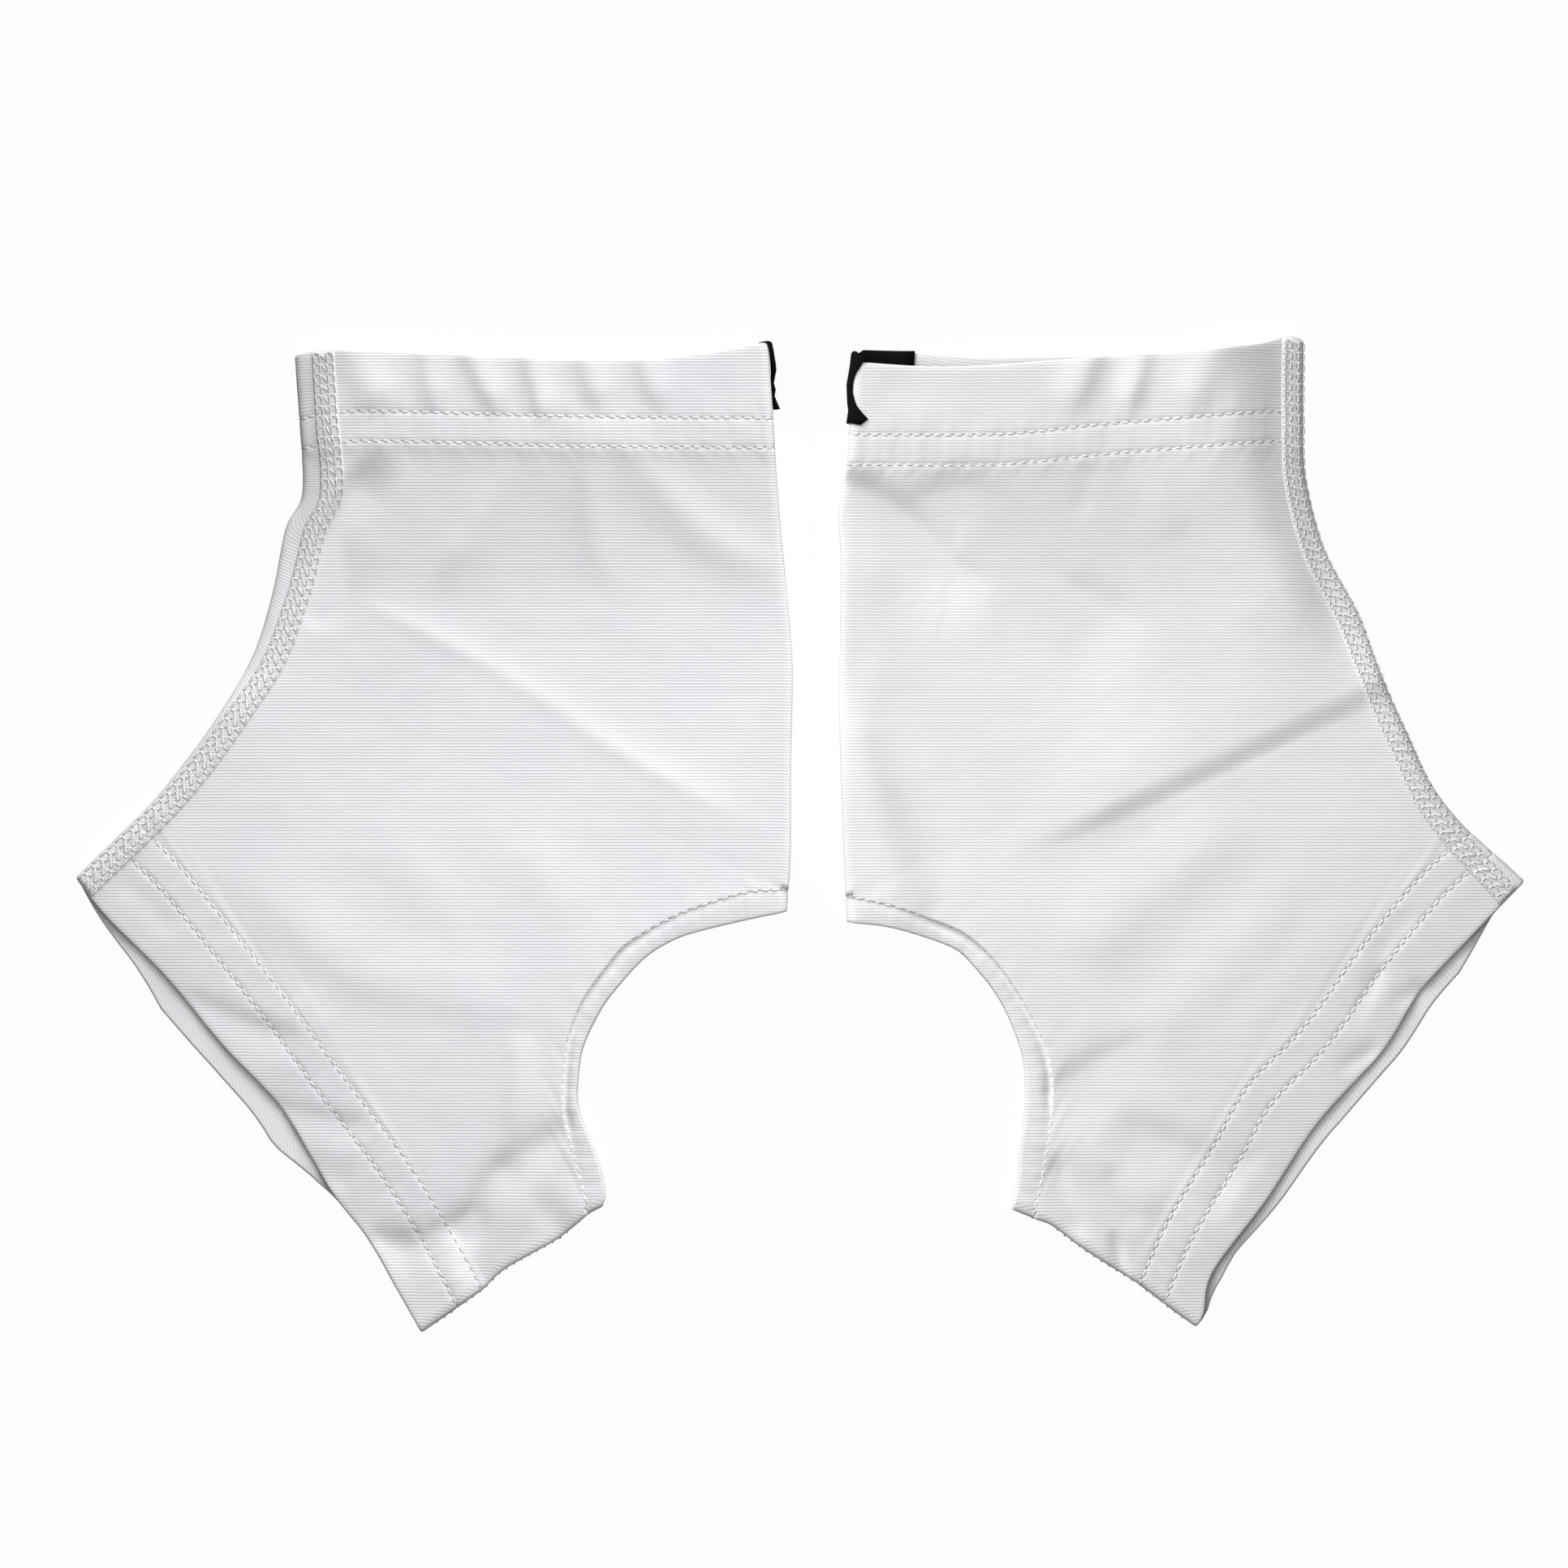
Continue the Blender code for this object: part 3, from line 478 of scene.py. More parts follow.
def bodyLine(spat, curves, part, t):
    first = shareNear(curves["instep"], spat["ankleStitch"][0])
    last = shareNear(curves["instep"], spat["toeStitch"][0])
    if part == "heel":
        start = shareNear(curves["heel"], spat["ankleStitch"][-1])
        end = shareNear(curves["heel"], spat["openingStitch"][0])
        back = pointAt(curves["heel"], start + (end - start) * t)
        share, down = cloth["heelShare"] * t, cloth["heelDown"] * t
    elif part == "opening":
        back = pointAt(curves["openingStitch"], t)
        share = cloth["heelShare"] + (cloth["openingShare"] - cloth["heelShare"]) * t
        down = cloth["heelDown"] + (cloth["openingDown"] - cloth["heelDown"]) * t
    else:
        back = pointAt(curves["sole"], shareNear(curves["sole"], spat["toeStitch"][-1]) * t)
        share = cloth["openingShare"] + (1 - cloth["openingShare"]) * t
        down = cloth["openingDown"] + (1 - cloth["openingDown"]) * t
    front = pointAt(curves["instep"], first + (last - first) * share)

    def line(u):
        across = np.asarray(u, float)[..., None]
        point = front + (back - front) * across
        for name, weight in (("ankleStitch", 1 - down), ("toeStitch", down)):
            curve = curves[name]
            start, end = curve["points"][0], curve["points"][-1]
            point = point + weight * (pointAt(curve, u) - (start + (end - start) * across))
        return point

    return line, down, front, back


def jointAt(spat, curves, line):
    share = shareNear(curves["instep"], line(0.0))
    ahead = pointAt(curves["instep"], min(1, share + 0.01))
    behind = pointAt(curves["instep"], max(0, share - 0.01))
    return (fromTable(spat["seamWrap"], share) + threads["bandWidth"] / 2,
            unit(ahead - behind))


def makeBody(spat, curves):
    rows = bodyRows(curves)
    grid, flat, opened, downs = [], [], [], []
    for part, t in rows:
        line, down, _, _ = bodyLine(spat, curves, part, t)
        joint, tangent = jointAt(spat, curves, line)
        isOpen = part == "opening"
        points, cut = ringPoints(spat, line, line, joint, tangent, isOpen)
        grid.append(points)
        flat.append(cut)
        opened.append(isOpen)
        downs.append(down)
    grid, flat, opened = np.array(grid), np.array(flat), np.array(opened)
    plan = grid[..., :2].copy()
    fromAnkle = distanceTo(curves["ankleStitch"]["points"][::6], plan)[0]
    down = np.array(downs)[:, None]
    across = np.clip((np.arange(grid.shape[1]) - cloth["arcSteps"]) / cloth["upperSteps"], 0, 1)
    height = cloth["skinHeight"] - cloth["sag"] * np.sin(math.pi * across) * np.sin(math.pi * down)
    height = height + creaseHeight(spat, plan)
    height -= spat["hemStep"] * (1 - np.exp(-((fromAnkle / 2.4) ** 2))) * np.exp(-fromAnkle / 60)
    grid[..., 2] *= notBelow(height, cloth["leastHeight"])
    normals = skinNormals(grid, opened)
    fromToe = distanceTo(curves["toeStitch"]["points"][::6], plan)[0]
    fromOpening = distanceTo(curves["openingStitch"]["points"][::6], plan)[0]
    fromRow = np.minimum(fromAnkle, fromToe)
    nearest = np.minimum(fromRow, fromOpening)
    seed = 3.0 if spat["toe"] < 0 else 8.0
    soft = cloth["waver"] * noiseField(plan, cloth["waverLength"], seed)
    soft += cloth["crumple"] * noiseField(plan, cloth["crumpleLength"], seed + 5)
    offset = soft * np.clip(nearest / 6, 0, 1) * (normals[..., 2] > 0.3)
    offset += 0.85 * groove(fromRow) + 0.25 * groove(fromOpening)
    around = plan[..., 0] - plan[..., 1] * 0.6
    offset += puckers(nearest, around, seed)
    grid = placeUnder(grid, normals, offset)
    count, columns = grid.shape[:2]
    firstOpen, lastOpen = np.nonzero(opened)[0][[0, -1]]

    def skip(r, c):
        inside = insetColumns <= c < insetColumns + cloth["arcSteps"]
        return inside and firstOpen - 1 <= r <= lastOpen

    run, length = ringRun(grid[0])
    alongAnkle = run * stitchCount(length)
    run, length = ringRun(grid[-1])
    alongToe = run * stitchCount(length)
    along = np.where(fromAnkle < fromToe, alongAnkle[None, :], alongToe[None, :])
    marks = {"fromNeedle": fromRow.reshape(-1), "alongNeedle": along.reshape(-1)}
    piece = meshPiece(spat["name"] + "Body", toFrame(spat, grid.reshape(-1, 3)),
                      gridFaces(count, columns, skip=skip), flat.reshape(-1, 2), marks)
    turnOut(piece, wholeMesh=False)
    thicken(piece, cloth["bodyWall"])
    return piece, grid, normals


def hemLines(spat, curves, edgeName, stitchName, peek):
    # Plan lines of a hem's rows, at set distances from the stitching and then on to its edge.
    edge, stitch = curves[edgeName], curves[stitchName]
    rim = hems["wall"] / 2

    def parts(u):
        start, end = pointAt(stitch, u), pointAt(edge, u)
        out = unit(end - start)
        ahead, behind = pointAt(stitch, np.minimum(u + 0.01, 1)), pointAt(stitch, np.maximum(u - 0.01, 0))
        tangent = unit(ahead - behind)
        square = np.abs(tangent[..., 0] * out[..., 1] - tangent[..., 1] * out[..., 0])
        depth = np.linalg.norm(end - start, axis=-1) - rim
        return start, out, depth, 1 / np.clip(square, 0.66, 1)

    def rowLine(distance, farShare, isUnder):
        def line(u):
            u = np.asarray(u, float)
            start, out, depth, stretch = parts(u)
            near = np.minimum(distance * stretch, depth * 0.8)
            reach = near + (depth - near) * farShare
            if isUnder:
                reach = reach + fromTable(peek, u) * reach / depth
            return start + out * reach[..., None]
        return line

    return rowLine


def makeHem(spat, curves, part, material):
    edgeName, stitchName = part + "Edge", part + "Stitch"
    peek = spat.get(part + "Peek", [(0, 0), (1, 0)])
    rowLine = hemLines(spat, curves, edgeName, stitchName, peek)
    if part == "opening":
        rows = [(-0.7, 0), (0, 0), (0.25, 0), (0.55, 0), (0.95, 0), (1.5, 0)]
        rows += [(1.5, share) for share in (0.3, 0.6, 0.82, 1.0)]
        needleRows = [1]
    else:
        near = hems["nearRows"]
        rows = [(-0.7, 0)] + [(distance, 0) for distance in near]
        rows += [(near[-1], share) for share in np.linspace(0, 1, hems["farRows"] + 1)[1:]]
        needleRows = [1, 1 + near.index(hems["needleGap"])]
    grid, flat = [], []
    for distance, share in rows:
        line = rowLine(distance, share, False)
        under = rowLine(distance, share, True)
        if part == "opening":
            joint, tangent = -9.0, np.array([0.0, 1.0])
        else:
            joint, tangent = jointAt(spat, curves, line)
        points, cut = ringPoints(spat, line, under, joint, tangent)
        grid.append(points)
        flat.append(cut)
    grid, flat = np.array(grid), np.array(flat)
    steps = np.linalg.norm(np.diff(grid[..., :2], axis=0), axis=2)
    run = np.vstack([np.zeros(grid.shape[1]), np.cumsum(steps, axis=0)])
    across = np.clip((np.arange(grid.shape[1]) - cloth["arcSteps"]) / cloth["upperSteps"], 0, 1)
    middleSink = hems["sink"][part] * np.sin(math.pi * across) ** 0.5 * (run / run[-1]) ** 2
    height = cloth["skinHeight"] + creaseHeight(spat, grid[..., :2]) - middleSink
    grid[..., 2] *= notBelow(height, hems["leastHeight"])
    if part == "toe":
        shares = np.concatenate([np.zeros(insetColumns + cloth["arcSteps"]),
                                 1, 1 - columnShares("under")], axis=None)
        shown = np.clip(fromTable(peek, shares) / 3, 0, 1)
        grid[..., 2] += hems["curl"] * shown * (1 - np.sign(grid[..., 2])) * (run / run[-1]) ** 3
    normals = skinNormals(grid)
    fromNeedle = np.min([np.abs(run - run[row]) for row in needleRows], axis=0)
    share, length = ringRun(grid[1])
    seed = 1.7 + len(part) + spat["toe"]
    along = share * length
    offset = groove(fromNeedle) + puckers(fromNeedle, along[None, :], seed)
    offset += 0.10 * noiseField(grid[..., :2], 7.0, seed) * np.clip(fromNeedle / 2, 0, 1)
    if part == "opening":
        deep = fromTable(spat["openingGroove"], across) * (normals[..., 2] > 0)
        offset -= hems["openingGroove"] * deep * np.exp(-(((run - run[1] - 0.8) / 0.8) ** 2))
    offset[0] = -0.42
    grid = placeUnder(grid, normals, offset)
    counts = [stitchCount(ringRun(grid[row])[1]) for row in needleRows]
    middle = (needleRows[0] + needleRows[-1]) / 2
    alongNeedle = np.array([ringRun(grid[needleRows[0 if r < middle else -1]])[0]
                            * counts[0 if r < middle else -1] for r in range(len(grid))])
    # The rounded edge, and the turned-in layer back to the stitching.
    wall = hems["wall"]
    inner = grid - normals * wall
    middleEdge = (grid[-1] + inner[-1]) / 2
    out = unit(grid[-1] - grid[-2])
    rim, rimFlat = [], []
    outFlat = unit(flat[-1] - flat[-2])
    for angle in np.radians([30, 60, 90, 120, 150]):
        rim.append(middleEdge + wall / 2 * (math.cos(angle) * normals[-1] + math.sin(angle) * out))
        rimFlat.append(flat[-1] + outFlat * wall * angle / 2)
    tangent = unit(np.roll(flat[-1], -1, axis=0) - np.roll(flat[-1], 1, axis=0))
    square = np.stack([-tangent[:, 1], tangent[:, 0]], axis=1)
    back = np.linspace(len(grid) - 1, 0, hems["innerRows"]).round().astype(int)
    foldFlat = flat[-1] + outFlat * wall * math.pi / 2
    innerFlat = [foldFlat + (flat[r] - flat[-1])
                 + 2 * ((flat[-1] - flat[r]) * square).sum(axis=1)[:, None] * square for r in back]
    ring = np.concatenate([grid, rim, inner[back]])
    ring[..., 2] = np.maximum(ring[..., 2], 0.0)
    ringFlat = np.concatenate([flat, rimFlat, innerFlat])
    away = np.full((len(ring) - len(grid), grid.shape[1]), 9.0)
    marks = {"fromNeedle": np.vstack([fromNeedle, away]).reshape(-1),
             "alongNeedle": np.vstack([alongNeedle, away]).reshape(-1)}
    names = {"ankle": "AnkleHem", "toe": "ToeHem", "opening": "HeelHem"}
    piece = meshPiece(spat["name"] + names[part], toFrame(spat, ring.reshape(-1, 3)),
                      gridFaces(*ring.shape[:2], closedRows=True), ringFlat.reshape(-1, 2), marks)
    turnOut(piece)
    piece.data.materials.append(material)
    needleLines = [(grid[row] + normals[row] * threads["lift"], normals[row])
                   for row in needleRows]
    return piece, grid, normals, ring, needleLines


def aroundFold(row, normals, equator, step, distances, stands):
    # Points at distances round a row from a fold's outermost line, stood off along its normals.
    indexes = (equator + step * np.arange(-6, 40)) % len(row)
    path, facing = row[indexes], normals[indexes]
    run = np.concatenate([[0], np.cumsum(np.linalg.norm(np.diff(path, axis=0), axis=1))])
    run -= run[6]
    at = np.stack([np.interp(distances, run, path[:, k]) for k in range(3)], axis=1)
    facing = unit(np.stack([np.interp(distances, run, facing[:, k]) for k in range(3)], axis=1))
    return at + facing * np.asarray(stands)[:, None], facing


def seamSkin(ankle, body, toe):
    # Every row that the instep seam crosses, from the ankle's edge to the toe's.
    grid = np.concatenate([ankle[0][:0:-1], body[0][1:-1], toe[0][1:]])
    normals = np.concatenate([ankle[1][:0:-1], body[1][1:-1], toe[1][1:]])
    return grid, normals


def makeSeamBand(spat, curves, skin, material):
    grid, normals = skin
    width, rise = threads["bandWidth"], threads["bandRise"]
    offsets = np.array([-0.15, 0.0, 0.3, 1.0, 1.7, 2.55, 3.4, 4.1, 4.8, width, width + 0.15])
    rises = np.array([-0.15, 0.4, 0.8, 1, 0.8, 1.1, 0.8, 1, 0.8, 0.4, -0.15]) * rise
    fromNeedle = [np.abs(offset - np.array(threads["needleRows"])).min() for offset in offsets]
    band, cut = [], []
    for row, facing in zip(grid, normals):
        start = fromTable(spat["seamWrap"], shareNear(curves["instep"], row[cloth["arcSteps"] // 2, :2]))
        points, _ = aroundFold(row, facing, cloth["arcSteps"] // 2, 1, start + offsets, rises)
        band.append(points)
        cut.append(points[:, :2])
    band, cut = np.array(band), np.array(cut)
    steps = np.linalg.norm(np.diff(band, axis=0), axis=2)
    run = np.vstack([np.zeros(len(offsets)), np.cumsum(steps, axis=0)])
    along = run / run[-1] * (run[-1] / threads["pitch"]).astype(int)
    marks = {"fromNeedle": np.tile(fromNeedle, len(band)), "alongNeedle": along.reshape(-1)}
    piece = meshPiece(spat["name"] + "InstepBand", toFrame(spat, band.reshape(-1, 3)),
                      gridFaces(*band.shape[:2], closedColumns=False), cut.reshape(-1, 2), marks)
    turnOut(piece, wholeMesh=False)
    piece.data.materials.append(material)
    thicken(piece, 0.45)

    def needleLine(across):
        found = []
        for row, facing in zip(grid[1:-1], normals[1:-1]):
            start = fromTable(spat["seamWrap"],
                              shareNear(curves["instep"], row[cloth["arcSteps"] // 2, :2]))
            points, away = aroundFold(row, facing, cloth["arcSteps"] // 2, 1,
                                      np.array([start + across]), [rise + threads["lift"]])
            found.append((points[0], away[0]))
        return np.array([p for p, _ in found]), np.array([n for _, n in found])

    rows = [needleLine(across) for across in threads["needleRows"]]
    middles = [needleLine((a + b) / 2)
               for a, b in zip(threads["needleRows"], threads["needleRows"][1:])]
    return piece, rows, middles


def makeLabel(spat, ankleRing, ankleRows, material):
    # The folded label's outer leaf: over the edge of the ankle hem and down the heel fold.
    rimRows = 5
    normals = skinNormals(ankleRing)
    depth = np.linalg.norm(ankleRing[1, insetColumns] - ankleRing[ankleRows - 1, insetColumns])
    rows = list(range(ankleRows + rimRows - 1, ankleRows - 1, -1)) + list(range(ankleRows - 1, 0, -1))
    equator = insetColumns + cloth["arcSteps"] // 2
    found = []
    run = 0.0
    for before, row in zip([rows[0]] + rows, rows):
        run += np.linalg.norm(ankleRing[row, equator] - ankleRing[before, equator])
        share = run / (spat["labelDrop"] * depth)
        if share > 1.0:
            break
        reach = fromTable(spat["labelReach"], share)
        stand = fromTable(spat["labelStand"], share)
        distances = np.concatenate([np.linspace(-1.6, 0, 5), np.linspace(0.1, 1, 9) * reach])
        stands = 0.30 + stand * np.exp(-((distances - 0.4) / 1.6) ** 2)
        stands[-1] *= 0.75
        facing = normals[row] if row < ankleRows else normals[ankleRows - 1]
        points, _ = aroundFold(ankleRing[row], facing, equator, -1, distances, stands)
        points[:, 1] += spat["labelRise"] * math.exp(-((share / 0.12) ** 2))
        points[:, 2] = np.maximum(points[:, 2], 0.45)
        found.append(points)
    label = np.array(found)
    piece = meshPiece(spat["name"] + "Label", toFrame(spat, label.reshape(-1, 3)),
                      gridFaces(*label.shape[:2], closedColumns=False), label.reshape(-1, 3)[:, :2])
    turnOut(piece, wholeMesh=False)
    piece.data.materials.append(material)
    thicken(piece, 0.35)
    return piece


def threadShape(name, path, radius, sides=5):
    # A short length of thread, closed at its ends and flattened a little where it is sewn down.
    path = np.array(path, float)
    tangents = unit(np.gradient(path, axis=0))
    points = []
    for index, (place, tangent) in enumerate(zip(path, tangents)):
        side = unit(np.cross([0, 0, 1.0], tangent))
        up = np.cross(tangent, side)
        size = radius * (0.55 if index in (0, len(path) - 1) else 1.0)
        for k in range(sides):
            angle = 2 * math.pi * (k + 0.5) / sides
            points.append(place + side * size * math.cos(angle) + up * size * 0.8 * math.sin(angle))
    faces = []
    for r in range(len(path) - 1):
        for k in range(sides):
            k2 = (k + 1) % sides
            faces.append([r * sides + k, (r + 1) * sides + k, (r + 1) * sides + k2, r * sides + k2])
    faces.append(list(range(sides)))
    faces.append([(len(path) - 1) * sides + k for k in range(sides)])
    shape = meshPiece(name, np.array(points) / 1000, faces)
    turnOut(shape)
    shape.hide_render = True
    return shape


def stitchTree():
    tree = bpy.data.node_groups.new("stitchesAlongRows", "GeometryNodeTree")
    tree.interface.new_socket("Geometry", in_out="INPUT", socket_type="NodeSocketGeometry")
    for name, kind in (("Stitch", "NodeSocketObject"), ("Pitch", "NodeSocketFloat"),
                       ("Sway", "NodeSocketFloat"), ("Uneven", "NodeSocketFloat"),
                       ("Seed", "NodeSocketInt"), ("Thread", "NodeSocketMaterial")):
        tree.interface.new_socket(name, in_out="INPUT", socket_type=kind)
    tree.interface.new_socket("Geometry", in_out="OUTPUT", socket_type="NodeSocketGeometry")
    nodes, links = tree.nodes, tree.links
    given = nodes.new("NodeGroupInput")
    rows = nodes.new("GeometryNodeMeshToCurve")
    spaced = nodes.new("GeometryNodeResampleCurve")
    spaced.mode = "LENGTH"
    links.new(given.outputs["Geometry"], rows.inputs["Mesh"])
    links.new(rows.outputs["Curve"], spaced.inputs["Curve"])
    links.new(given.outputs["Pitch"], spaced.inputs["Length"])
    away = nodes.new("GeometryNodeInputNamedAttribute")
    away.data_type = "FLOAT_VECTOR"
    away.inputs["Name"].default_value = "away"
    facing = nodes.new("FunctionNodeAxesToRotation")
    facing.primary_axis = "X"
    facing.secondary_axis = "Z"
    tangent = nodes.new("GeometryNodeInputTangent")
    links.new(tangent.outputs["Tangent"], facing.inputs["Primary Axis"])
    links.new(away.outputs["Attribute"], facing.inputs["Secondary Axis"])
    low = nodes.new("ShaderNodeMath")
    low.operation = "MULTIPLY"
    low.inputs[1].default_value = -1.0
    links.new(given.outputs["Sway"], low.inputs[0])
    swing = nodes.new("FunctionNodeRandomValue")
    swing.data_type = "FLOAT"
    links.new(low.outputs[0], swing.inputs[2])
    links.new(given.outputs["Sway"], swing.inputs[3])
    links.new(given.outputs["Seed"], swing.inputs["Seed"])
    turn = nodes.new("FunctionNodeAxisAngleToRotation")
    turn.inputs["Axis"].default_value = (0, 0, 1)
    links.new(swing.outputs[1], turn.inputs["Angle"])
    turned = nodes.new("FunctionNodeRotateRotation")
    turned.rotation_space = "LOCAL"
    links.new(facing.outputs["Rotation"], turned.inputs["Rotation"])
    links.new(turn.outputs["Rotation"], turned.inputs["Rotate By"])
    smaller = nodes.new("ShaderNodeMath")
    smaller.operation = "SUBTRACT"
    smaller.inputs[0].default_value = 1.0
    links.new(given.outputs["Uneven"], smaller.inputs[1])
    size = nodes.new("FunctionNodeRandomValue")
    size.data_type = "FLOAT"
    size.inputs[3].default_value = 1.0
    links.new(smaller.outputs[0], size.inputs[2])
    links.new(given.outputs["Seed"], size.inputs["Seed"])
    shape = nodes.new("GeometryNodeObjectInfo")
    links.new(given.outputs["Stitch"], shape.inputs["Object"])
    placed = nodes.new("GeometryNodeInstanceOnPoints")
    links.new(spaced.outputs["Curve"], placed.inputs["Points"])
    links.new(shape.outputs["Geometry"], placed.inputs["Instance"])
    links.new(turned.outputs["Rotation"], placed.inputs["Rotation"])
    links.new(size.outputs[1], placed.inputs["Scale"])
    real = nodes.new("GeometryNodeRealizeInstances")
    finish = nodes.new("GeometryNodeSetMaterial")
    result = nodes.new("NodeGroupOutput")
    links.new(placed.outputs["Instances"], real.inputs["Geometry"])
    links.new(real.outputs["Geometry"], finish.inputs["Geometry"])
    links.new(given.outputs["Thread"], finish.inputs["Material"])
    links.new(finish.outputs["Geometry"], result.inputs["Geometry"])
    return tree


def sewRows(spat, name, rows, closed, stitch, material, pitch, sway, uneven, seed):
    # Sews a stitch along rows of points that each have a facing direction.
    points, edges, facings = [], [], []
    for line, facing in rows:
        start = len(points)
        placed = toFrame(spat, line)
        points += [tuple(p) for p in placed]
        turned = facing * np.array([spat["toe"], 1, 1])
        facings += [tuple(n) for n in turned]
        edges += [(start + i, start + i + 1) for i in range(len(line) - 1)]
        if closed:
            edges.append((start + len(line) - 1, start))
    mesh = bpy.data.meshes.new(name)
    mesh.from_pydata(points, edges, [])
    away = mesh.attributes.new("away", "FLOAT_VECTOR", "POINT")
    away.data.foreach_set("vector", np.array(facings, np.float32).ravel())
    guide = bpy.data.objects.new(name + "Guide", mesh)
    bpy.context.scene.collection.objects.link(guide)
    tree = bpy.data.node_groups["stitchesAlongRows"]
    modifier = guide.modifiers.new("Stitches", "NODES")
    modifier.node_group = tree
    values = {"Stitch": stitch, "Pitch": pitch / 1000, "Sway": sway, "Uneven": uneven,
              "Seed": seed, "Thread": material}
    for item in tree.interface.items_tree:
        if item.item_type == "SOCKET" and item.in_out == "INPUT" and item.name in values:
            modifier[item.identifier] = values[item.name]
    bpy.context.view_layer.update()
    made = bpy.data.meshes.new_from_object(
        guide.evaluated_get(bpy.context.evaluated_depsgraph_get()))
    made.name = name
    made.shade_smooth()
    sewn = bpy.data.objects.new(name, made)
    bpy.context.scene.collection.objects.link(sewn)
    bpy.data.objects.remove(guide, do_unlink=True)
    return sewn


def joinPieces(name, parts):
    bm = bmesh.new()
    for part in parts:
        bm.from_mesh(part.data)
    mesh = bpy.data.meshes.new(name)
    bm.to_mesh(mesh)
    bm.free()
    mesh.materials.append(parts[0].data.materials[0])
    mesh.shade_smooth()
    joined = bpy.data.objects.new(name, mesh)
    bpy.context.scene.collection.objects.link(joined)
    for part in parts:
        bpy.data.objects.remove(part, do_unlink=True)
    return joined


# The knit's colours on the crests of its ribs, and darker between them: painted shade in the rib valleys.
knitLook = {
    "ribPitch": 0.66, "loopPitch": 0.52, "ribDepth": 0.00004,
    "left": {"ridge": (0.878, 0.882, 0.894), "valleyPaintedShade": (0.740, 0.745, 0.760)},
    "right": {"ridge": (0.880, 0.880, 0.884), "valleyPaintedShade": (0.740, 0.742, 0.748)},
}


def mathNode(tree, operation, first, second=None, clamp=False):
    node = tree.nodes.new("ShaderNodeMath")
    node.operation = operation
    node.use_clamp = clamp
    for index, value in enumerate((first, second)):
        if value is None:
            continue
        if isinstance(value, (int, float)):
            node.inputs[index].default_value = value
        else:
            tree.links.new(value, node.inputs[index])
    return node.outputs[0]


def groupWith(name, inputs, outputs):
    tree = bpy.data.node_groups.new(name, "ShaderNodeTree")
    for label, value in inputs:
        socket = tree.interface.new_socket(label, in_out="INPUT", socket_type="NodeSocketFloat")
        socket.default_value = value
    for label in outputs:
        tree.interface.new_socket(label, in_out="OUTPUT", socket_type="NodeSocketFloat")
    return tree, tree.nodes.new("NodeGroupInput"), tree.nodes.new("NodeGroupOutput")


def ribGroup():
    # Fine cross ribs on the flat cut, with the knit loops along them. The cut's own unit is 250 mm.
    tree, given, result = groupWith(
        "crossRibs", [("Rib Pitch", 0.66), ("Loop Pitch", 0.52), ("Waver", 0.12)],
        ["Height", "Shade"])
    cut = tree.nodes.new("ShaderNodeUVMap")
    cut.uv_map = "flatCut"
    apart = tree.nodes.new("ShaderNodeSeparateXYZ")
    tree.links.new(cut.outputs["UV"], apart.inputs[0])
    slow = tree.nodes.new("ShaderNodeTexNoise")
    slow.inputs["Scale"].default_value = 22.0
    slow.inputs["Detail"].default_value = 2.0
    tree.links.new(cut.outputs["UV"], slow.inputs["Vector"])
    drift = mathNode(tree, "MULTIPLY", mathNode(tree, "SUBTRACT", slow.outputs["Fac"], 0.5),
                     given.outputs["Waver"])
    up = mathNode(tree, "ADD", mathNode(tree, "MULTIPLY", apart.outputs["Y"], 250.0), drift)
    course = mathNode(tree, "DIVIDE", up, given.outputs["Rib Pitch"])
    wave = mathNode(tree, "SINE", mathNode(tree, "MULTIPLY", course, 2 * math.pi))
    rib = mathNode(tree, "ADD", mathNode(tree, "MULTIPLY", wave, 0.5), 0.5)
    across = mathNode(tree, "DIVIDE",
                      mathNode(tree, "MULTIPLY", apart.outputs["X"], 250.0),
                      given.outputs["Loop Pitch"])
    staggered = mathNode(tree, "ADD", across,
                         mathNode(tree, "MULTIPLY", mathNode(tree, "FLOOR", course), 0.5))
    loops = mathNode(tree, "SINE", mathNode(tree, "MULTIPLY", staggered, 2 * math.pi))
    grain = tree.nodes.new("ShaderNodeTexNoise")
    grain.inputs["Scale"].default_value = 520.0
    grain.inputs["Detail"].default_value = 2.0
    tree.links.new(cut.outputs["UV"], grain.inputs["Vector"])
    fleck = mathNode(tree, "SUBTRACT", grain.outputs["Fac"], 0.5)
    body = mathNode(tree, "MULTIPLY", rib,
                    mathNode(tree, "ADD", mathNode(tree, "MULTIPLY", loops, 0.16), 0.84))
    height = mathNode(tree, "ADD", body, mathNode(tree, "MULTIPLY", fleck, 0.5))
    tree.links.new(height, result.inputs["Height"])
    # Shade: painted shade, darker in the rib valleys, with the loops along them and the knit's random grain.
    shade = mathNode(tree, "ADD", mathNode(tree, "POWER", rib, 0.6),
                     mathNode(tree, "ADD", mathNode(tree, "MULTIPLY", loops, 0.07),
                              mathNode(tree, "MULTIPLY", fleck, 0.75)), clamp=True)
    tree.links.new(shade, result.inputs["Shade"])
    return tree


def holeAndShadeGroup():
    # Where the needle hole between each two stitches of a row is: a mask for its dent and for the painted
    # shade in it.
    tree, given, result = groupWith("needleHoles", [("Size", 0.30)], ["Mask"])
    distance = tree.nodes.new("ShaderNodeAttribute")
    distance.attribute_name = "fromNeedle"
    along = tree.nodes.new("ShaderNodeAttribute")
    along.attribute_name = "alongNeedle"
    near = mathNode(tree, "SUBTRACT", 1.0,
                    mathNode(tree, "DIVIDE", distance.outputs["Fac"], given.outputs["Size"]),
                    clamp=True)
    wave = mathNode(tree, "COSINE", mathNode(tree, "MULTIPLY", along.outputs["Fac"], 2 * math.pi))
    between = mathNode(tree, "MULTIPLY", mathNode(tree, "SUBTRACT", -0.55, wave), 3.0, clamp=True)
    tree.links.new(mathNode(tree, "MULTIPLY", near, between), result.inputs["Mask"])
    return tree


